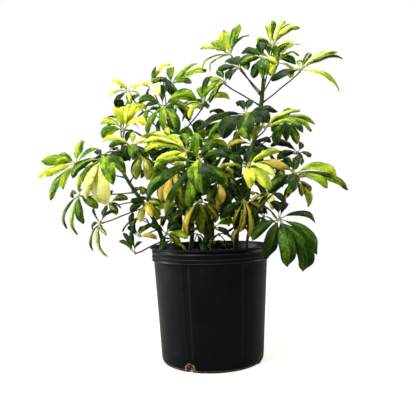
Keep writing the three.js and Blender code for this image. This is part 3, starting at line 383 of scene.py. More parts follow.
def make_tubes(name, tubes, sides):
    """Closed tubes through lists of (point, radius), all in one mesh."""
    curve = bpy.data.curves.new(name, "CURVE")
    curve.dimensions = "3D"
    curve.bevel_depth = 1.0
    curve.bevel_resolution = max(0, sides // 4 - 1)
    curve.use_fill_caps = True
    for tube in tubes:
        line = curve.splines.new("POLY")
        line.points.add(len(tube) - 1)
        for point, (place, radius) in zip(line.points, tube):
            point.co = (*place, 1)
            point.radius = radius
    activate(add_object(name, curve))
    bpy.ops.object.convert(target="MESH")
    piece = bpy.context.object
    bpy.ops.object.mode_set(mode="EDIT")
    bpy.ops.mesh.select_all(action="SELECT")
    bpy.ops.mesh.remove_doubles(threshold=1e-6)
    bpy.ops.mesh.normals_make_consistent(inside=False)
    bpy.ops.object.mode_set(mode="OBJECT")
    bpy.ops.object.shade_smooth_by_angle(angle=math.radians(50))
    return piece


# ------------------------------------------------------------------ reading the CAD solids


class Solid:
    """A CAD node's corners, welded, with the neighbours of each."""

    def __init__(self, name):
        mesh = bmesh.new()
        mesh.from_mesh(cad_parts[name].data)
        bmesh.ops.remove_doubles(mesh, verts=mesh.verts, dist=1e-6)
        self.places = {v.index: v.co.copy() for v in mesh.verts}
        self.near = {v.index: {e.other_vert(v).index for e in v.link_edges} for v in mesh.verts}
        mesh.free()

    def around(self, corners):
        """Every corner that an edge joins to one of these."""
        return {far for corner in corners for far in self.near[corner]}

    def centre(self, ring):
        return sum((self.places[corner] for corner in ring), Vector()) / len(ring)

    def station(self, ring):
        """A ring's centre and radius."""
        middle = self.centre(ring)
        return middle, sum((self.places[corner] - middle).length for corner in ring) / len(ring)

    def walk(self, ring, behind, count):
        """So many rings of corners, the first one given, that lead away from the corners behind it."""
        rings = [behind, ring]
        while len(rings) <= count:
            rings.append(self.around(rings[-1]) - rings[-1] - (behind | rings[-2]))
        return rings[1:]

    def pairs(self, ring):
        """The two pairs of opposite corners in a ring of four, the closer pair first, or None."""
        if len(ring) != 4 or any(len(self.near[corner] & ring) != 2 for corner in ring):
            return None
        one = min(ring)
        (other,) = ring - self.near[one] - {one}
        both = [(one, other), tuple(sorted(ring - {one, other}))]
        return sorted(both, key=lambda pair: (self.places[pair[0]] - self.places[pair[1]]).length)


def read_section(solid, ring, side_like):
    """The middle of a leaflet's cross-section, the way to its right-hand edge and half its width."""
    left, right = (solid.places[corner] for corner in solid.pairs(ring)[1])
    if (right - left).dot(side_like) < 0:
        left, right = right, left
    across = right - left
    return {"middle": (left + right) / 2, "side": across.normalized(), "half": across.length / 2}


def read_leaf(name):
    """Hub, axis, stalk and leaflets of a compound leaf, from the corners of its CAD solid."""
    solid = Solid(name)
    leaflets = []
    for tip, ring in solid.near.items():
        pairs = solid.pairs(ring)
        if not pairs:
            continue
        gap = (solid.places[pairs[0][0]] - solid.places[pairs[0][1]]).length
        reach = (solid.places[tip] - solid.centre(ring)).length
        if abs(gap - SOLID_THICK) > 0.1 * SOLID_THICK or reach < SHORTEST_TIP:
            continue
        far, middle, joint, root = solid.walk(ring, {tip}, 4)
        leaflets.append({"tip": solid.places[tip], "rings": (joint, middle, far), "root": root})
    # The crown of the hub, its topmost corner, touches corners of every leaflet's root.
    roots = [leaflet["root"] for leaflet in leaflets]
    crown = max(solid.near, key=lambda corner: sum(len(solid.near[corner] & root) > 1 for root in roots))
    top = solid.near[crown]
    bottom = solid.around(top) - top - {crown}
    blades = {corner for leaflet in leaflets for ring in leaflet["rings"] for corner in ring}
    bottom -= blades
    axis = (solid.centre(top) - solid.centre(bottom)).normalized()
    hub = (solid.centre(top) + solid.centre(bottom)) / 2
    neck = solid.around(bottom) - (top | bottom | blades | {crown})
    stalk = [solid.station(ring) for ring in reversed(solid.walk(neck, bottom, 5))]
    for leaflet in leaflets:
        joint = solid.centre(leaflet["rings"][0])
        side = (joint - hub).cross(axis)
        leaflet["sections"] = []
        for ring in leaflet["rings"]:
            leaflet["sections"].append(read_section(solid, ring, side))
            side = leaflet["sections"][-1]["side"]
    return {"hub": hub, "axis": axis, "stalk": stalk, "leaflets": leaflets}


def read_stem(name):
    """Points along a stem's middle, from its foot up, with the stem's radius at each."""
    solid = Solid(name)
    lowest = min(place.z for place in solid.places.values())
    foot = {corner for corner, place in solid.places.items() if place.z < lowest + 0.1 * MM}
    return [solid.station(ring) for ring in solid.walk(foot, set(), 10)]


def clock(leaf, leaflet):
    """Where a leaflet's tip lies round its hub as the front sees it, clockwise from twelve, in turns."""
    way = leaflet["tip"] - leaf["hub"]
    return (math.atan2(way.x, way.z) / (2 * math.pi)) % 1.0


# ------------------------------------------------------------------ materials


def leaf_blade_material(settings):
    # Waxy living leaf blade: a smooth cuticle with a soft gloss, light that shines through, and patches of
    # lime, yellow and cream where the green is missing.
    material, add = new_material("waxy_leaf_blade")
    real = add("UVMap", uv_map="real")
    along, across, _ = add("SeparateXYZ", [add("UVMap", uv_map="unit")]).outputs
    light, cream, golden = add("SeparateColor", [add("Attribute", attribute_name="look")]).outputs
    fresh, centre, lean = add("SeparateColor", [add("Attribute", attribute_name="tone")]).outputs
    # Some leaflets are light along the middle, most of all near the hub, and some on one side of the rib.
    edge = add("Math", [across], operation="ABSOLUTE")
    inward = add("Math", [0.5, edge], operation="SUBTRACT")
    near_hub = add("Math", [along, -0.8, 1.35], operation="MULTIPLY_ADD")
    inner = add("Math", [inward, near_hub], operation="MULTIPLY")
    middle = add("Math", [inner, centre], operation="MULTIPLY")
    sided = add("Math", [across, lean], operation="MULTIPLY")
    plan = add("Math", [middle, sided], operation="ADD")
    # Patches about 45 mm long and 14 mm wide, drawn out along the blade, with sharp ragged edges.
    stretch = add("Mapping", {"Vector": real, "Scale": (1 / (45 * MM), 1 / (14 * MM), 1)})
    patches = add(
        "TexNoise", {"Vector": stretch, "Scale": 1.0, "Detail": 4.0, "Roughness": 0.55, "Distortion": 0.7})
    wide = add("MapRange", [patches, 0.42, 0.58, -0.16, 0.16], interpolation_type="SMOOTHSTEP")
    # Mottling 5 mm across.
    mottle = add("TexNoise", {"Vector": real, "Scale": 1 / (5 * MM), "Detail": 3.0, "Roughness": 0.6})
    flecks = add("MapRange", [mottle, 0.3, 0.7, -0.13, 0.13], clamp=False)
    blotches = add("Math", [wide, flecks], operation="ADD")
    drawn = add("Math", [plan, blotches], operation="ADD")
    lightness = add("Math", [drawn, light], operation="ADD")
    old_green = add("ValToRGB", [lightness], stops=[
        (0.0, settings.dark), (0.26, "#1d3405"), (0.33, "#375507"), (0.48, "#556d0c"), (0.54, settings.lime),
        (0.70, "#8a9c16"), (0.76, settings.yellow),
    ])
    young_green = add("ValToRGB", [lightness], stops=[
        (0.0, "#1e3d0b"), (0.28, "#3b640e"), (0.36, "#557813"), (0.5, "#6e8818"), (0.58, settings.lime),
        (0.72, "#8fa01a"), (0.8, settings.yellow),
    ])
    greens = add("Mix", [fresh, old_green, young_green], data_type="RGBA")
    # The lightest parts go to cream on some leaflets, and some leaflets go golden and dimmer: partly with
    # age, partly as painted shade.
    lightest = add("MapRange", [lightness, 0.6, 0.95, 0.0, 1.0])
    creamed = add("Math", [lightest, cream], operation="MULTIPLY")
    pale = add("Mix", [creamed, greens, "#d8d68c"], data_type="RGBA")
    aged_and_shaded = add("Mix", [golden, pale, "#d6b98a"], data_type="RGBA", blend_type="MULTIPLY")
    # The midrib, 0.7 mm wide, and side veins that leave it every 5 mm.
    forward, aside, _ = add("SeparateXYZ", [real]).outputs
    off_rib = add("Math", [aside], operation="ABSOLUTE")
    rib = add("MapRange", [off_rib, 0.3 * MM, 0.8 * MM, 1.0, 0.0])
    slant = add("Math", [off_rib, -0.9, forward], operation="MULTIPLY_ADD")
    beat = add("Math", [slant, 2 * math.pi / (5 * MM)], operation="MULTIPLY")
    ripple = add("Math", [beat], operation="COSINE")
    veins = add("MapRange", [ripple, 0.8, 1.0, 0.0, 1.0])
    ribbed = add("Math", [veins, 0.3, rib], operation="MULTIPLY_ADD")
    share = add("Math", [ribbed, 0.12], operation="MULTIPLY", use_clamp=True)
    veined = add("Mix", [share, aged_and_shaded, "#8fae45"], data_type="RGBA")
    # Cuticle: a fine unevenness half a millimetre across.
    skin = add("TexNoise", {"Vector": real, "Scale": 1 / (0.5 * MM), "Detail": 2.0})
    gloss = add("MapRange", [patches, 0.3, 0.7, 0.32, 0.46])
    relief = add("Math", [skin, 0.15, ribbed], operation="MULTIPLY_ADD")
    bump = add("Bump", {"Height": relief, "Strength": 0.9, "Distance": 0.7 * MM}, invert=True)
    shader = add("BsdfPrincipled", {
        "Base Color": veined, "Roughness": gloss, "Normal": bump, "IOR": 1.45,
        "Specular IOR Level": 0.07, "Subsurface Weight": 0.6, "Subsurface Radius": (0.8, 1.0, 0.2),
        "Subsurface Scale": 2.5 * MM,
    })
    add("OutputMaterial", [shader])
    return material


def leaf_stalk_material(name, dull, middle, pale):
    # Young green stalk: smooth skin with fine streaks along it, dull on the stalk and pale round the hub.
    material, add = new_material(name)
    place = add("TexCoord").outputs["Object"]
    # Streaks 12 mm long.
    streaks = add("TexNoise", {"Vector": place, "Scale": 1 / (12 * MM), "Detail": 4.0})
    tint = add("ValToRGB", [streaks], stops=[(0.3, dull), (0.55, middle), (0.75, pale)])
    bump = add("Bump", {"Height": streaks, "Strength": 0.3, "Distance": 0.2 * MM})
    shader = add("BsdfPrincipled", {
        "Base Color": tint, "Roughness": 0.42, "IOR": 1.45, "Specular IOR Level": 0.15, "Normal": bump,
    })
    add("OutputMaterial", [shader])
    return material


def bark_material(settings):
    # Young bark: green-brown skin with paler corky spots, dull.
    material, add = new_material("young_bark")
    place = add("TexCoord").outputs["Object"]
    # Ridges drawn out along the stem, about 3 mm wide and 15 mm long.
    stretch = add("Mapping", {"Vector": place, "Scale": (1, 1, 0.2)})
    ridges = add("TexNoise", {"Vector": stretch, "Scale": 1 / (3 * MM), "Detail": 5.0, "Roughness": 0.6})
    tint = add("ValToRGB", [ridges], stops=[(0.3, "#191a0c"), (0.5, settings.colour), (0.72, "#454623")])
    # Between 0.36 and 0.52 m up, bark gives way to this year's growth, which is still green.
    height = add("SeparateXYZ", [place]).outputs["Z"]
    young = add("MapRange", [height, 0.36, 0.52, 0.3, 0.9])
    greened = add("Mix", [young, tint, "#2b4514"], data_type="RGBA")
    # Corky spots 1.5 mm across, one in each cell of 4 mm.
    cells = add("TexVoronoi", {"Vector": place, "Scale": 1 / (4 * MM)})
    spots = add("MapRange", [cells, 0.12, 0.22, 1.0, 0.0])
    spotted = add("Mix", [spots, greened, "#6f6746"], data_type="RGBA")
    relief = add("Math", [spots, 0.5, ridges], operation="MULTIPLY_ADD")
    bump = add("Bump", {"Height": relief, "Strength": 0.7, "Distance": 0.6 * MM})
    shader = add("BsdfPrincipled", {
        "Base Color": spotted, "Roughness": 0.72, "Specular IOR Level": 0.12, "Normal": bump,
    })
    add("OutputMaterial", [shader])
    return material


def soil_material(name, black, brown, straw):
    # Peat and fine bark: crumbs from 1 to 4 mm, mostly brown, with nearly black and straw-coloured ones among
    # them; darker where it is damp.
    material, add = new_material(name)
    place = add("TexCoord").outputs["Object"]
    crumbs = add("TexVoronoi", {"Vector": place, "Scale": 1 / (3 * MM)})
    fine = add("TexNoise", {"Vector": place, "Scale": 1 / (1.2 * MM), "Detail": 6.0})
    kinds = add("SeparateColor", [crumbs.outputs["Color"]])
    tint = add("ValToRGB", [kinds], stops=[(0.0, black), (0.5, brown), (0.95, straw)])
    height = add("Math", [fine, 0.5, crumbs], operation="MULTIPLY_ADD")
    bump = add("Bump", {"Height": height, "Strength": 1.0, "Distance": 1.5 * MM})
    shader = add("BsdfPrincipled", {"Base Color": tint, "Roughness": 0.9, "Normal": bump})
    add("OutputMaterial", [shader])
    return material


def pot_material(settings):
    # Blow-moulded polyethylene: black all through, a satin skin with a faint orange peel, scuffs and a
    # painted highlight on its beads and the edges of its channels, and soiled round the drain holes and along
    # the foot.
    material, add = new_material("blow_moulded_polyethylene")
    place = add("TexCoord").outputs["Object"]
    scuff_and_highlight, soiled, _ = add("SeparateColor", [add("Attribute", attribute_name="marks")]).outputs
    # Clouds of dust 50 mm across, and scratches and grains of soil 4 mm across.
    dust = add("TexNoise", {"Vector": place, "Scale": 1 / (50 * MM), "Detail": 6.0, "Roughness": 0.65})
    grains = add("TexNoise", {"Vector": place, "Scale": 1 / (4 * MM), "Detail": 4.0, "Roughness": 0.7})
    tint = add("ValToRGB", [dust], stops=[(0.35, settings.colour), (0.6, "#06080b"), (0.8, "#11120f")])
    # The beads and the channels' edges are painted paler: scuffs, and a painted highlight where light catches
    # them.
    scuff_and_highlight_grain = add("MapRange", [grains, 0.3, 0.6, 0.25, 1.0])
    scuff_and_highlight_share = add("Math", [scuff_and_highlight_grain, scuff_and_highlight], operation="MULTIPLY")
    scuffed_and_highlighted = add("Mix", [scuff_and_highlight_share, tint, "#4a4e52"], data_type="RGBA")
    clumps = add("Math", [soiled, grains], operation="ADD")
    dirt = add("MapRange", [clumps, 0.95, 1.25, 0.0, 0.9])
    dirty = add("Mix", [dirt, scuffed_and_highlighted, "#8c7756"], data_type="RGBA")
    satin = add("MapRange", [dust, 0.3, 0.75, 0.3, 0.42])
    gloss = add("Math", [dirt, 0.4, satin], operation="MULTIPLY_ADD")
    # Orange peel 1.5 mm across.
    peel = add("TexNoise", {"Vector": place, "Scale": 1 / (1.5 * MM), "Detail": 2.0})
    bump = add("Bump", {"Height": peel, "Strength": 0.12, "Distance": 0.3 * MM})
    shader = add("BsdfPrincipled", {
        "Base Color": dirty, "Roughness": gloss, "IOR": 1.5, "Specular IOR Level": 0.07,
        "Normal": bump,
    })
    add("OutputMaterial", [shader])
    return material


def floor_material():
    # Matt white paper, overexposed as in a catalogue picture: brighter to the eye than it lights the plant.
    material, add = new_material("matt_white_paper")
    # The paper's tooth, drawn 25 mm across so that it shows.
    place = add("TexCoord").outputs["Object"]
    tooth = add("TexNoise", {"Vector": place, "Scale": 1 / (25 * MM), "Detail": 3.0})
    tint = add("ValToRGB", [tooth], stops=[(0.3, "#928f89"), (0.7, "#96938e")])
    eye = add("LightPath").outputs["Is Camera Ray"]
    glow = add("Math", [eye, 0.72], operation="MULTIPLY")
    shader = add("BsdfPrincipled", {
        "Base Color": tint, "Roughness": 0.9, "Emission Color": "#fffdf8", "Emission Strength": glow,
    })
    add("OutputMaterial", [shader])
    return material


# ------------------------------------------------------------------ pieces


def drain_angles():
    """Where the drain holes are, round the pot."""
    return [math.radians(FIRST_DRAIN) + i * 2 * math.pi / DRAINS for i in range(DRAINS)]


def wall_run(radius, level, steps):
    """A run of the wall's section, as (radius, height), from steps in millimetres out and up from a place."""
    return [(radius + out * MM, level + up * MM) for out, up in steps]


class PLANT_OT_pot(bpy.types.Operator):
    """Turn the nursery pot with its stepped collar, rolled lip and drain holes"""

    bl_idname = "plant.make_pot"
    bl_label = "Nursery pot"

    def execute(self, context):
        settings = context.scene.plant_pot
        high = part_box("pot")[1]
        rim, top, wall = high.x, high.z, settings.wall
        base, shoulder, collar, step = rim - BASE_IN, rim - SHOULDER_IN, rim - COLLAR_IN, top - COLLAR_HIGH
        stations = (
            wall_run(base, 0, FOOT_SECTION) + wall_run(shoulder, step, SHOULDER_SECTION)
            + wall_run(collar, step, COLLAR_SECTION) + wall_run(rim, step, LIP_SECTION)
            + wall_run(rim, top, LIP_TOP_SECTION)
            # The inside of the wall, plain, down to the floor.
            + wall_run(rim - wall, step, [(-5.0, 19)]) + wall_run(shoulder - wall, step, [(0, -3)])
            + wall_run(base - wall, 0, [(0, 12)]) + wall_run(base, 0, [(-9, 3)])
        )
        deselect()
        bpy.ops.mesh.primitive_circle_add(
            vertices=settings.segments, radius=stations[0][0], fill_type="NOTHING", location=(0, 0, 0))
        pot = context.object
        bpy.ops.object.mode_set(mode="EDIT")
        bpy.ops.mesh.select_all(action="SELECT")
        bpy.ops.mesh.extrude_region_move(TRANSFORM_OT_translate={"value": (0, 0, 0)})
        bpy.ops.mesh.merge(type="CENTER")
        bpy.ops.mesh.select_all(action="DESELECT")
        select_where(pot, lambda place: place.length > 0.5 * stations[0][0])
        for (radius, level), (next_radius, next_level) in zip(stations, stations[1:]):
            bpy.ops.mesh.extrude_region_move(TRANSFORM_OT_translate={"value": (0, 0, next_level - level)})
            scale = next_radius / radius
            bpy.ops.transform.resize(value=(scale, scale, 1), center_override=(0, 0, 0))
        bpy.ops.mesh.extrude_region_move(TRANSFORM_OT_translate={"value": (0, 0, 0)})
        bpy.ops.mesh.merge(type="CENTER")
        bpy.ops.mesh.select_all(action="SELECT")
        bpy.ops.mesh.normals_make_consistent(inside=False)
        bpy.ops.object.mode_set(mode="OBJECT")
        self.press_ribs(pot, base, step)
        self.cut_drains(pot, base)
        self.mark_highlights_scuffs_and_dirt(pot, base, step)
        pot.data.materials.append(pot_material(settings))
        activate(pot)
        bpy.ops.object.shade_smooth_by_angle(angle=math.radians(32))
        finish_piece(pot, "nursery_pot", ["pot"])
        return {"FINISHED"}

    def off_rib(self, place):
        """How far round the wall a place is from the middle of the nearest pressed channel."""
        angle = math.atan2(place.y, place.x) - math.radians(FIRST_RIB)
        turn = math.radians(RIB_SPACING)
        return abs((angle + turn / 2) % turn - turn / 2) * place.xy.length

    def press_ribs(self, pot, base, step):
        """Shallow flat channels that run down the wall under the collar."""
        for corner in pot.data.vertices:
            flat = corner.co.xy.length
            on_wall = RIB_FOOT < corner.co.z < step - RIB_GAP and flat > base - 1 * MM
            if on_wall and self.off_rib(corner.co) < RIB_HALF:
                corner.co.xy *= 1 - RIB_DEPTH / flat

    def cut_drains(self, pot, base):
        """The drain holes, where the wall meets the floor."""
        for spot in drain_angles():
            middle = Vector((math.cos(spot) * base, math.sin(spot) * base, DRAIN_LEVEL))
            turn = Matrix.Rotation(spot, 4, "Z") @ Matrix.Rotation(DRAIN_TILT, 4, "Y")
            deselect()
            bpy.ops.mesh.primitive_cylinder_add(vertices=28, radius=DRAIN_RADIUS, depth=30 * MM)
            cutter = bpy.context.object
            cutter.data.transform(Matrix.Translation(middle) @ turn)
            modify(pot, "BOOLEAN", operation="DIFFERENCE", solver="EXACT", object=cutter)
            bpy.data.objects.remove(cutter)

    def mark_highlights_scuffs_and_dirt(self, pot, base, step):
        """Marks the ridges' scuffs and painted highlight (first) and the soiled foot and hole rims (second)
        for the material.
        """
        marks = pot.data.color_attributes.new("marks", "FLOAT_COLOR", "POINT")
        holes = [Vector((math.cos(spot) * base, math.sin(spot) * base, 9 * MM)) for spot in drain_angles()]
        # Beads and channel edges get scuffs together with a painted highlight.
        bead_scuff_and_highlight, rib_scuff_and_highlight, foot_dirt, hole_dirt = 0.32, 0.07, 0.8, 0.72
        for i, corner in enumerate(pot.data.vertices):
            place = corner.co
            outside = place.xy.length > base - 3 * MM
            on_bead = outside and min(abs(place.z - (step + bead)) for bead in BEADS) < 0.6 * MM
            on_rib = RIB_FOOT < place.z < step - RIB_GAP and abs(self.off_rib(place) - RIB_HALF) < 1.3 * MM
            scuff_and_highlight = bead_scuff_and_highlight if on_bead else rib_scuff_and_highlight if on_rib and outside else 0.0
            near = min((place - hole).length for hole in holes)
            on_foot = foot_dirt * (1 - abs(place.z - 4.8 * MM) / (1.5 * MM))
            at_hole = hole_dirt - max(0.0, near - 10 * MM) / (5 * MM)
            marks.data[i].color = (scuff_and_highlight, min(1.0, max(at_hole, on_foot, 0.0)), 0.0, 1.0)


class PLANT_OT_soil(bpy.types.Operator):
    """Fill the pot with crumbly potting mix and lay bark chips on it"""

    bl_idname = "plant.make_soil"
    bl_label = "Potting mix"

    def execute(self, context):
        settings = context.scene.plant_soil
        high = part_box("soil")[1]
        radius = high.x
        material = soil_material("peat_and_bark_potting_mix", "#120b07", settings.colour, "#5c452e")
        # A flat disc, 1 mm narrower all round than the solid and with its top 4 mm lower.
        deselect()
        bpy.ops.mesh.primitive_cylinder_add(
            vertices=96, radius=radius - 1 * MM, depth=16 * MM, end_fill_type="NGON",
            location=(0, 0, high.z - 12 * MM))
        soil = context.object
        bpy.ops.object.mode_set(mode="EDIT")
        rings = 9
        for _ in range(rings):
            edit = bmesh.from_edit_mesh(soil.data)
            for face in edit.faces:
                face.select = face.normal.z > 0.9 and len(face.verts) > 4
            bmesh.update_edit_mesh(soil.data)
            bpy.ops.mesh.inset(thickness=radius / (rings + 0.8))
        bpy.ops.object.mode_set(mode="OBJECT")
        # The top, still in the cylinder's own frame, is heaped 4 mm in the middle and sinks 3 mm at the wall.
        for corner in soil.data.vertices:
            if corner.co.z > 7 * MM:
                share = 1 - min(1.0, corner.co.xy.length / radius)
                corner.co.z += 4 * MM * min(1.0, 3 * share) - 3 * MM
        clods = bpy.data.textures.new("clods", "CLOUDS")
        clods.noise_scale = 14 * MM
        modify(soil, "DISPLACE", texture=clods, strength=settings.bumps, mid_level=0.5)
        modify(soil, "SUBSURF", levels=1, render_levels=1)
        soil.data.materials.append(material)
        activate(soil)
        bpy.ops.object.shade_smooth_by_angle(angle=math.radians(60))
        finish_piece(soil, "potting_mix", ["soil"])
        self.lay_chips(settings, material, high.z, radius)
        return {"FINISHED"}

    def lay_chips(self, settings, material, level, radius):
        """One flat chip of bark, copied over the potting mix in many sizes, clear of the stems."""
        deselect()
        bpy.ops.mesh.primitive_cube_add(size=1)
        chip = bpy.context.object
        bpy.ops.object.mode_set(mode="EDIT")
        bpy.ops.mesh.select_all(action="SELECT")
        bpy.ops.transform.resize(value=(9 * MM, 5 * MM, 2.4 * MM))
        bpy.ops.mesh.bevel(offset=0.9 * MM, segments=1)
        bpy.ops.object.mode_set(mode="OBJECT")
        feet = [self.stem_foot(name) for name in STEMS]
        moves = []
        for i in range(settings.chips):
            angle = math.pi * (1 + draw(i, 1))
            out = (radius - 12 * MM) * math.sqrt(0.5 + 0.5 * draw(i, 2))
            size = 0.75 + 0.35 * draw(i, 3)
            turn = Matrix.Rotation(math.pi * draw(i, 4), 4, "Z") @ Matrix.Rotation(0.35 * draw(i, 5), 4, "X")
            spot = Vector((math.cos(angle) * out, math.sin(angle) * out, level - 2.6 * MM))
            if all((spot.xy - foot.xy).length >= 11 * MM for foot in feet):
                moves.append(Matrix.Translation(spot) @ turn @ Matrix.Diagonal((size, size * 0.9, size, 1)))
        lay_copies(chip, moves, material, "bark_chips")

    def stem_foot(self, name):
        """Where a stem stands."""
        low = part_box(name)[0]
        corners = [v.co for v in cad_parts[name].data.vertices if v.co.z < low.z + 0.1 * MM]
        return sum(corners, Vector()) / len(corners)


class PLANT_OT_stems(bpy.types.Operator):
    """Grow the woody stems along their CAD solids"""

    bl_idname = "plant.make_stems"
    bl_label = "Woody stems"

    def execute(self, context):
        settings = context.scene.plant_stems
        material = bark_material(settings)
        for i, name in enumerate(STEMS):
            path = read_stem(name)
            places = [place for place, _ in path]
            foot, tip = path[0][1], path[-1][1]
            tube = []
            for k in range(STEM_STATIONS + 1):
                share = k / STEM_STATIONS
                # Leaf scars ring the stem and swell it a little, and its last tenth, the soft shoot, narrows.
                swell = 1 + 0.05 * max(0.0, math.sin(k * 1.7 + i)) ** 6
                narrow = 1 - 0.3 * max(0.0, (share - 0.9) / 0.1)
                radius = 0.96 * (foot + (tip - foot) * share)
                tube.append((spline(places, share), radius * swell * narrow))
            end = places[-1] + (places[-1] - places[-2]).normalized() * 1.6 * tip
            tube += [(places[-1].lerp(end, 0.5), 0.5 * tip), (end, 0.2 * tip)]
            stem = make_tubes(name, [tube], settings.sides)
            stem.data.materials.append(material)
            finish_piece(stem, f"woody_{name}", [name])
        return {"FINISHED"}


def make_flat_blade():
    """A leaflet's blade drawn flat, from a grid whose rows are drawn in: each corner's way along the blade,
    across it, and across it as a share of its row, and the faces."""
    last = len(BLADE_ROWS) - 1
    deselect()
    bpy.ops.mesh.primitive_grid_add(x_subdivisions=last, y_subdivisions=BLADE_COLUMNS, size=2)
    blade = bpy.context.object
    bpy.ops.object.mode_set(mode="EDIT")
    for i, (_, width) in enumerate(BLADE_ROWS):
        select_where(blade, lambda place: abs(place.x - (-1 + 2 * i / last)) < 1e-4)
        bpy.ops.transform.resize(value=(1, width, 1), center_override=(0, 0, 0))
    bpy.ops.object.mode_set(mode="OBJECT")
    corners = []
    for corner in blade.data.vertices:
        along, width = BLADE_ROWS[round((corner.co.x + 1) / 2 * last)]
        corners.append((along, corner.co.y, corner.co.y / width))
    faces = [tuple(face.vertices) for face in blade.data.polygons]
    bpy.data.objects.remove(blade)
    return corners, faces


class PLANT_OT_leaves(bpy.types.Operator):
    """Grow every compound leaf: stalk, hub and waved leaflets along their CAD solids"""

    bl_idname = "plant.make_leaves"
    bl_label = "Compound leaves"

    def execute(self, context):
        settings = context.scene.plant_leaves
        materials = [
            leaf_blade_material(settings),
            leaf_stalk_material("young_green_stalk", "#1f2809", "#36430f", "#56631e"),
            leaf_stalk_material("pale_green_rib", "#6d7c34", "#93a152", "#b9c27c"),
        ]
        leaves = [
            (f"compound_{name}", [name], i, read_leaf(name), letters)
            for i, (name, letters) in enumerate(zip(LEAVES, LEAFLET_LOOKS, strict=True))
        ]
        bark = [place for name in STEMS for place, _ in read_stem(name)]
        for i, (across, down, depth, length, letters) in enumerate(INNER_LEAVES):
            hub = seen_at(across, down, depth * MM)
            leaf = self.draft_leaf(hub, bark, length * MM, len(letters), i)
            # The inner leaves draw as number 100 and on, apart from the solids' leaves.
            leaves.append((f"inner_leaf_{i + 1:02d}", [], 100 + i, leaf, letters))
        flat = make_flat_blade()
        for name, nodes, index, leaf, letters in leaves:
            parts = [self.make_blades(settings, leaf, index, name, flat, letters), *self.make_stalks(leaf)]
            for part, material in zip(parts, materials):
                part.data.materials.append(material)
            activate(*parts)
            bpy.ops.object.join()
            finish_piece(parts[0], name, nodes)
        return {"FINISHED"}

    def draft_leaf(self, hub, bark, length, count, index):
        """A leaf that grows from the nearest bark below its hub, as read_leaf would read it from a solid."""
        below = [place for place in bark if place.z < hub.z - 12 * MM] or bark
        seat = min(below, key=lambda place: (place - hub).length)
        way = hub - seat
        # The stalk arches up and is swollen at its foot.
        arch = Vector((0, 0, 0.12 * way.length))
        stalk = [(seat.lerp(hub, t) + arch * 4 * t * (1 - t), 1.2 * MM) for t in (0, 0.25, 0.5, 0.75, 1)]
        stalk[0] = (seat, 2.0 * MM)
        # The hub faces up, partly along its stalk and a little to a side.
        lean = Vector((draw(index, 31), draw(index, 32), 0)) * 0.45
        axis = (way.normalized() * 0.6 + UP + lean).normalized()
        across = axis.cross(Vector((draw(index, 33), draw(index, 34), 0.3))).normalized()
        # Its leaflets spread all round, droop toward their tips and are two fifths as wide as long.
        leaflets = []
        for k in range(count):
            turn = Matrix.Rotation(2 * math.pi * (k + 0.25 * draw(index, k, 35)) / count, 3, axis)
            out = (turn @ across + 0.25 * axis * draw(index, k, 36)).normalized()
            reach = length * (1 + 0.18 * draw(index, k, 37))
            droop = 0.45 + 0.3 * draw(index, k, 38)
            half = reach * (0.2 + 0.03 * draw(index, k, 39))
            marks = (0.12, 0.45, 0.75, 1.0)
            spine = [hub + out * reach * t - UP * reach * droop * t * t for t in marks]
            side = out.cross(axis).normalized()
            sections = [{"middle": place, "side": side, "half": half} for place in spine[:3]]
            leaflets.append({"tip": spine[3], "sections": sections})
        return {"hub": hub, "axis": axis, "stalk": stalk, "leaflets": leaflets}

    def bend(self, leaflet, index, k, settings, broad):
        """What bends the flat blade onto a leaflet, and the leaflet's length and half its width."""
        sections = leaflet["sections"]
        spine = [section["middle"] for section in sections] + [leaflet["tip"]]
        spans = [(b - a).length for a, b in zip(spine, spine[1:])]
        length = sum(spans)
        marks = [0, spans[0] / length, (spans[0] + spans[1]) / length]
        sides = [section["side"] for section in sections]
        half = 0.98 * broad * max(section["half"] for section in sections[1:])
        # Shares of half the width: how far the edges cup up and how deep the blade is folded along its rib.
        cup = 0.08 * draw(index, k, 5)
        fold = 0.32 + 0.18 * draw(index, k, 9)
        # How many waves the edge has, and where they start.
        beat = 2.0 + 0.8 * draw(index, k, 6)
        phase = math.pi * draw(index, k, 7)
        # How far the blade turns about its rib, and shares of the length: its bend aside and its tip's curl.
        twist = math.radians(24) * draw(index, k, 10)
        sweep = 0.05 * draw(index, k, 11)
        curl = 0.08 + 0.07 * draw(index, k, 12)
        # Where along it the blade lies untwisted and where its tip starts to curl, how far its rib is rounded
        # and how far the waves of one edge run ahead of the other's.
        untwisted, curl_from, rounding, lead = 0.35, 0.65, 0.05, 1.3

        def place(along, across, share):
            point = spline(spine, along)
            ahead = spline(spine, min(1.0, along + 0.02)) - spline(spine, max(0.0, along - 0.02))
            tangent = ahead.normalized()
            if along < marks[1]:
                side = sides[0].lerp(sides[1], along / marks[1])
            elif along < marks[2]:
                side = sides[1].lerp(sides[2], (along - marks[1]) / (marks[2] - marks[1]))
            else:
                side = sides[2]
            side = (side - tangent * side.dot(tangent)).normalized()
            side = Matrix.Rotation(twist * (along - untwisted), 3, tangent) @ side
            face = side.cross(tangent)
            point += side * (sweep * length * math.sin(math.pi * along))
            point -= face * (curl * length * max(0.0, (along - curl_from) / (1 - curl_from)) ** 2)
            off = abs(share)
            ridge = fold * (1 - off) + rounding * (1 - off ** 2)
            swing = math.sin(2 * math.pi * beat * along + phase + (lead if share > 0 else 0))
            wave = settings.wave * 2 * off * off * swing
            # All of this relief grows over the first sixth of the blade.
            lift = (ridge + wave + cup * off ** 1.5) * half * min(1.0, 6 * along)
            return point + side * (across * half) + face * lift

        return place, length, half

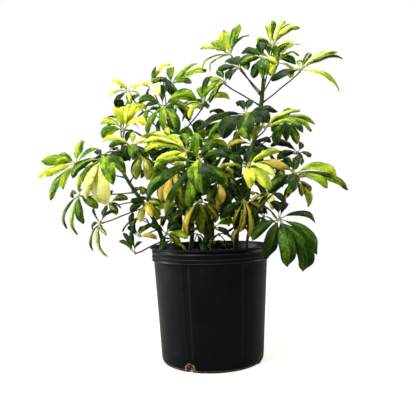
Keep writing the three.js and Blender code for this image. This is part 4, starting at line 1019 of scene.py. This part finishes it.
    def make_blades(self, settings, leaf, index, name, flat, letters):
        """All the blades of a leaf in one mesh, clockwise from twelve, with what their material reads."""
        corners, faces, looks, tones, real, unit = [], [], [], [], [], []
        for k, leaflet in enumerate(sorted(leaf["leaflets"], key=lambda one: clock(leaf, one))):
            letter = letters[k % len(letters)]
            place, length, half = self.bend(leaflet, index, k, settings, BROAD if letter.isupper() else 1.0)
            start = len(corners)
            light, cream, golden, fresh, centre, lean = LOOKS[letter.lower()]
            look = [light + 0.05 * draw(index, k, 1), cream, golden + 0.08 * draw(index, k, 2)]
            turned = 1 if draw(index, k, 8) > 0 else -1
            # Each leaflet takes its own stretch of the pattern, so that no two look the same.
            shift = 0.37 * (index * 10 + k)
            tone = [fresh + 0.1 * draw(index, k, 3), centre + 0.1 * draw(index, k, 4), turned * lean]
            for along, across, share in flat[0]:
                corners.append(place(along, across, share))
                looks.append((*[min(1.0, max(0.0, value)) for value in look], 1.0))
                tones.append((min(1.0, max(0.0, tone[0])), tone[1], tone[2], 1.0))
                real.append((along * length + shift, across * half))
                unit.append((along, share))
            faces += [tuple(start + corner for corner in face) for face in flat[1]]
        mesh = bpy.data.meshes.new(name)
        mesh.from_pydata(corners, [], faces)
        for key, values in (("real", real), ("unit", unit)):
            layer = mesh.uv_layers.new(name=key)
            for loop in mesh.loops:
                layer.data[loop.index].uv = values[loop.vertex_index]
        for key, values in (("look", looks), ("tone", tones)):
            tint = mesh.color_attributes.new(key, "FLOAT_COLOR", "POINT")
            for i, value in enumerate(values):
                tint.data[i].color = value
        blades = add_object(name, mesh)
        modify(blades, "SUBSURF", levels=1, render_levels=1)
        modify(blades, "SOLIDIFY", thickness=settings.thickness, offset=0)
        bpy.ops.object.shade_smooth_by_angle(angle=math.radians(50))
        return blades

    def make_stalks(self, leaf):
        """The stalk, its swollen foot, the hub, and a little stalk that runs on as each leaflet's midrib."""
        places = [place for place, _ in leaf["stalk"]]
        start, end = places[0], places[-1]
        # A real stalk is straighter than the solid's five sections draw it.
        straighter = 0.7
        places = [
            place.lerp(start.lerp(end, i / (len(places) - 1)), straighter) for i, place in enumerate(places)]
        foot, thin = leaf["stalk"][0][1], leaf["stalk"][-1][1]
        # The stalk's foot reaches 2 mm into the bark. The stalk swells there and, by 0.5 mm, at the hub.
        stalk = [(start - (places[1] - start).normalized() * 2 * MM, 0.8 * foot)]
        for i in range(STALK_STATIONS + 1):
            share = i / STALK_STATIONS
            swell = (foot - thin) * max(0.0, 1 - share / 0.07) + 0.5 * MM * max(0.0, (share - 0.94) / 0.06)
            stalk.append((spline(places, share), thin + swell))
        hub, axis = leaf["hub"], leaf["axis"]
        dome = [(-5.0, 1.7), (-3.2, 2.3), (-1.6, 3.0), (0.0, 3.3), (1.0, 2.9), (1.9, 1.8), (2.3, 0.5)]
        tubes = [[(hub + axis * height * MM, radius * MM) for height, radius in dome]]
        # A midrib: its share of the leaflet, its radius at the hub and at its end, and how deep it sinks in.
        reach, thick, thinnest, deep = 0.84, 1.15 * MM, 0.25 * MM, 0.5 * MM
        for leaflet in leaf["leaflets"]:
            sections = leaflet["sections"]
            spine = [hub] + [section["middle"] for section in sections] + [leaflet["tip"]]
            side = sections[1]["side"]
            rib = []
            for i in range(RIB_STATIONS + 1):
                share = reach * i / RIB_STATIONS
                point = spline(spine, share)
                ahead = spline(spine, share + 0.02) - point
                under = ahead.cross(side).normalized()
                sunk = 0.0 if i == 0 else deep * min(1.0, share / 0.25)
                rib.append((point + under * sunk, max(thinnest, thick * (1 - share) ** 0.8)))
            tubes.append(rib)
        return make_tubes("stalk", [stalk], STALK_SIDES), make_tubes("ribs", tubes, STALK_SIDES)


class PLANT_OT_crumbs(bpy.types.Operator):
    """Scatter crumbs of potting mix in the drain holes"""

    bl_idname = "plant.make_crumbs"
    bl_label = "Drain hole crumbs"

    def execute(self, context):
        material = soil_material("dried_potting_mix", "#100a07", "#2c1f14", "#8a6f4c")
        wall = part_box("pot")[1].x - BASE_IN
        deselect()
        bpy.ops.mesh.primitive_ico_sphere_add(subdivisions=1, radius=1.0)
        crumb = context.object
        moves = []
        for hole, spot in enumerate(drain_angles()):
            for i in range(context.scene.plant_crumbs.count):
                # A squashed crumb, 2 to 7 mm long, that lies behind its hole.
                size = (2.3 + 1.4 * draw(hole, i, 1)) * MM
                angle = spot + 0.075 * draw(hole, i, 2)
                out = wall - (4.5 - 2.5 * draw(hole, i, 3)) * MM
                level = (8.5 + 6.5 * draw(hole, i, 4)) * MM
                place = Matrix.Translation((math.cos(angle) * out, math.sin(angle) * out, level))
                turn = Matrix.Rotation(3 * draw(hole, i, 5), 4, (0.6, 0.3, 0.7))
                moves.append(place @ turn @ Matrix.Diagonal((size, 0.7 * size, 0.55 * size, 1)))
        lay_copies(crumb, moves, material, "drain_crumbs")
        return {"FINISHED"}


class PLANT_OT_stage(bpy.types.Operator):
    """Set the pale floor, the soft light and the camera"""

    bl_idname = "plant.make_stage"
    bl_label = "Stage"

    def execute(self, context):
        settings = context.scene.plant_stage
        scene = context.scene
        deselect()
        bpy.ops.mesh.primitive_circle_add(
            vertices=96, radius=settings.floor, fill_type="NGON", location=(0, 0, 0))
        floor = context.object
        floor.name = "pale_floor"
        floor.data.materials.append(floor_material())
        floor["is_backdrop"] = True
        scene.world = self.make_room(settings)
        scene.view_settings.view_transform = "Standard"
        for name, place, target, size, share in LIGHTS:
            self.add_light(name, Vector(place), Vector((0, 0, target)), size, share * settings.key)
        scene.camera = self.add_camera()
        return {"FINISHED"}

    def make_room(self, settings):
        """A white room: full white where the eye looks past the plant, and as a light brightest overhead."""
        room = bpy.data.worlds.new("white_room")
        room.use_nodes = True
        room.node_tree.nodes.clear()
        add = functools.partial(add_node, room.node_tree)
        height = add("SeparateXYZ", [add("TexCoord").outputs["Generated"]]).outputs["Z"]
        glow = add("MapRange", [height, 0.0, 1.0, settings.walls, settings.ceiling])
        eye = add("LightPath").outputs["Is Camera Ray"]
        strength = add("Mix", [eye, glow, 1.0], data_type="FLOAT")
        light = add("Background", ["#ffffff", strength])
        add("OutputWorld", [light])
        return room

    def add_light(self, name, place, target, size, power):
        lamp = bpy.data.lights.new(name, "AREA")
        lamp.shape = "DISK"
        lamp.size = size
        lamp.energy = power
        light = add_object(name, lamp)
        light.location = place
        light.rotation_euler = (target - place).to_track_quat("-Z", "Y").to_euler()

    def add_camera(self):
        """The camera that the photograph was taken with, at the height of the leaves over the pot."""
        lens = bpy.data.cameras.new("photo_camera")
        lens.lens = lens.sensor_width * FOCAL / IMAGE
        camera = add_object("photo_camera", lens)
        camera.matrix_world = Matrix.Translation(CAMERA_PLACE) @ camera_turn().to_4x4()
        return camera


# The pieces in the order in which they are made: the operator, its settings in the scene and their kind.
STEPS = [
    (PLANT_OT_pot, "plant_pot", PotSettings), (PLANT_OT_soil, "plant_soil", SoilSettings),
    (PLANT_OT_stems, "plant_stems", StemSettings), (PLANT_OT_leaves, "plant_leaves", LeafSettings),
    (PLANT_OT_crumbs, "plant_crumbs", CrumbSettings), (PLANT_OT_stage, "plant_stage", StageSettings),
]


class PLANT_PT_panel(bpy.types.Panel):
    bl_idname = "PLANT_PT_panel"
    bl_label = "Potted umbrella plant"
    bl_space_type = "VIEW_3D"
    bl_region_type = "UI"
    bl_category = "Plant"

    def draw(self, context):
        for operator, group, kind in STEPS:
            box = self.layout.box()
            for key in kind.__annotations__:
                box.prop(getattr(context.scene, group), key)
            box.operator(operator.bl_idname)


def register():
    for operator, group, kind in STEPS:
        bpy.utils.register_class(kind)
        bpy.utils.register_class(operator)
        setattr(bpy.types.Scene, group, bpy.props.PointerProperty(type=kind))
    bpy.utils.register_class(PLANT_PT_panel)


def unregister():
    bpy.utils.unregister_class(PLANT_PT_panel)
    for operator, group, kind in reversed(STEPS):
        delattr(bpy.types.Scene, group)
        bpy.utils.unregister_class(operator)
        bpy.utils.unregister_class(kind)


def main():
    register()
    bpy.ops.plant.make_pot()
    bpy.ops.plant.make_soil()
    bpy.ops.plant.make_stems()
    bpy.ops.plant.make_leaves()
    bpy.ops.plant.make_crumbs()
    bpy.ops.plant.make_stage()
    boxes = {"cad": cad_box, "visual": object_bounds()}
    {key: [list(corner) for corner in box] for key, box in boxes.items()}


if __name__ == "__main__":
    main()
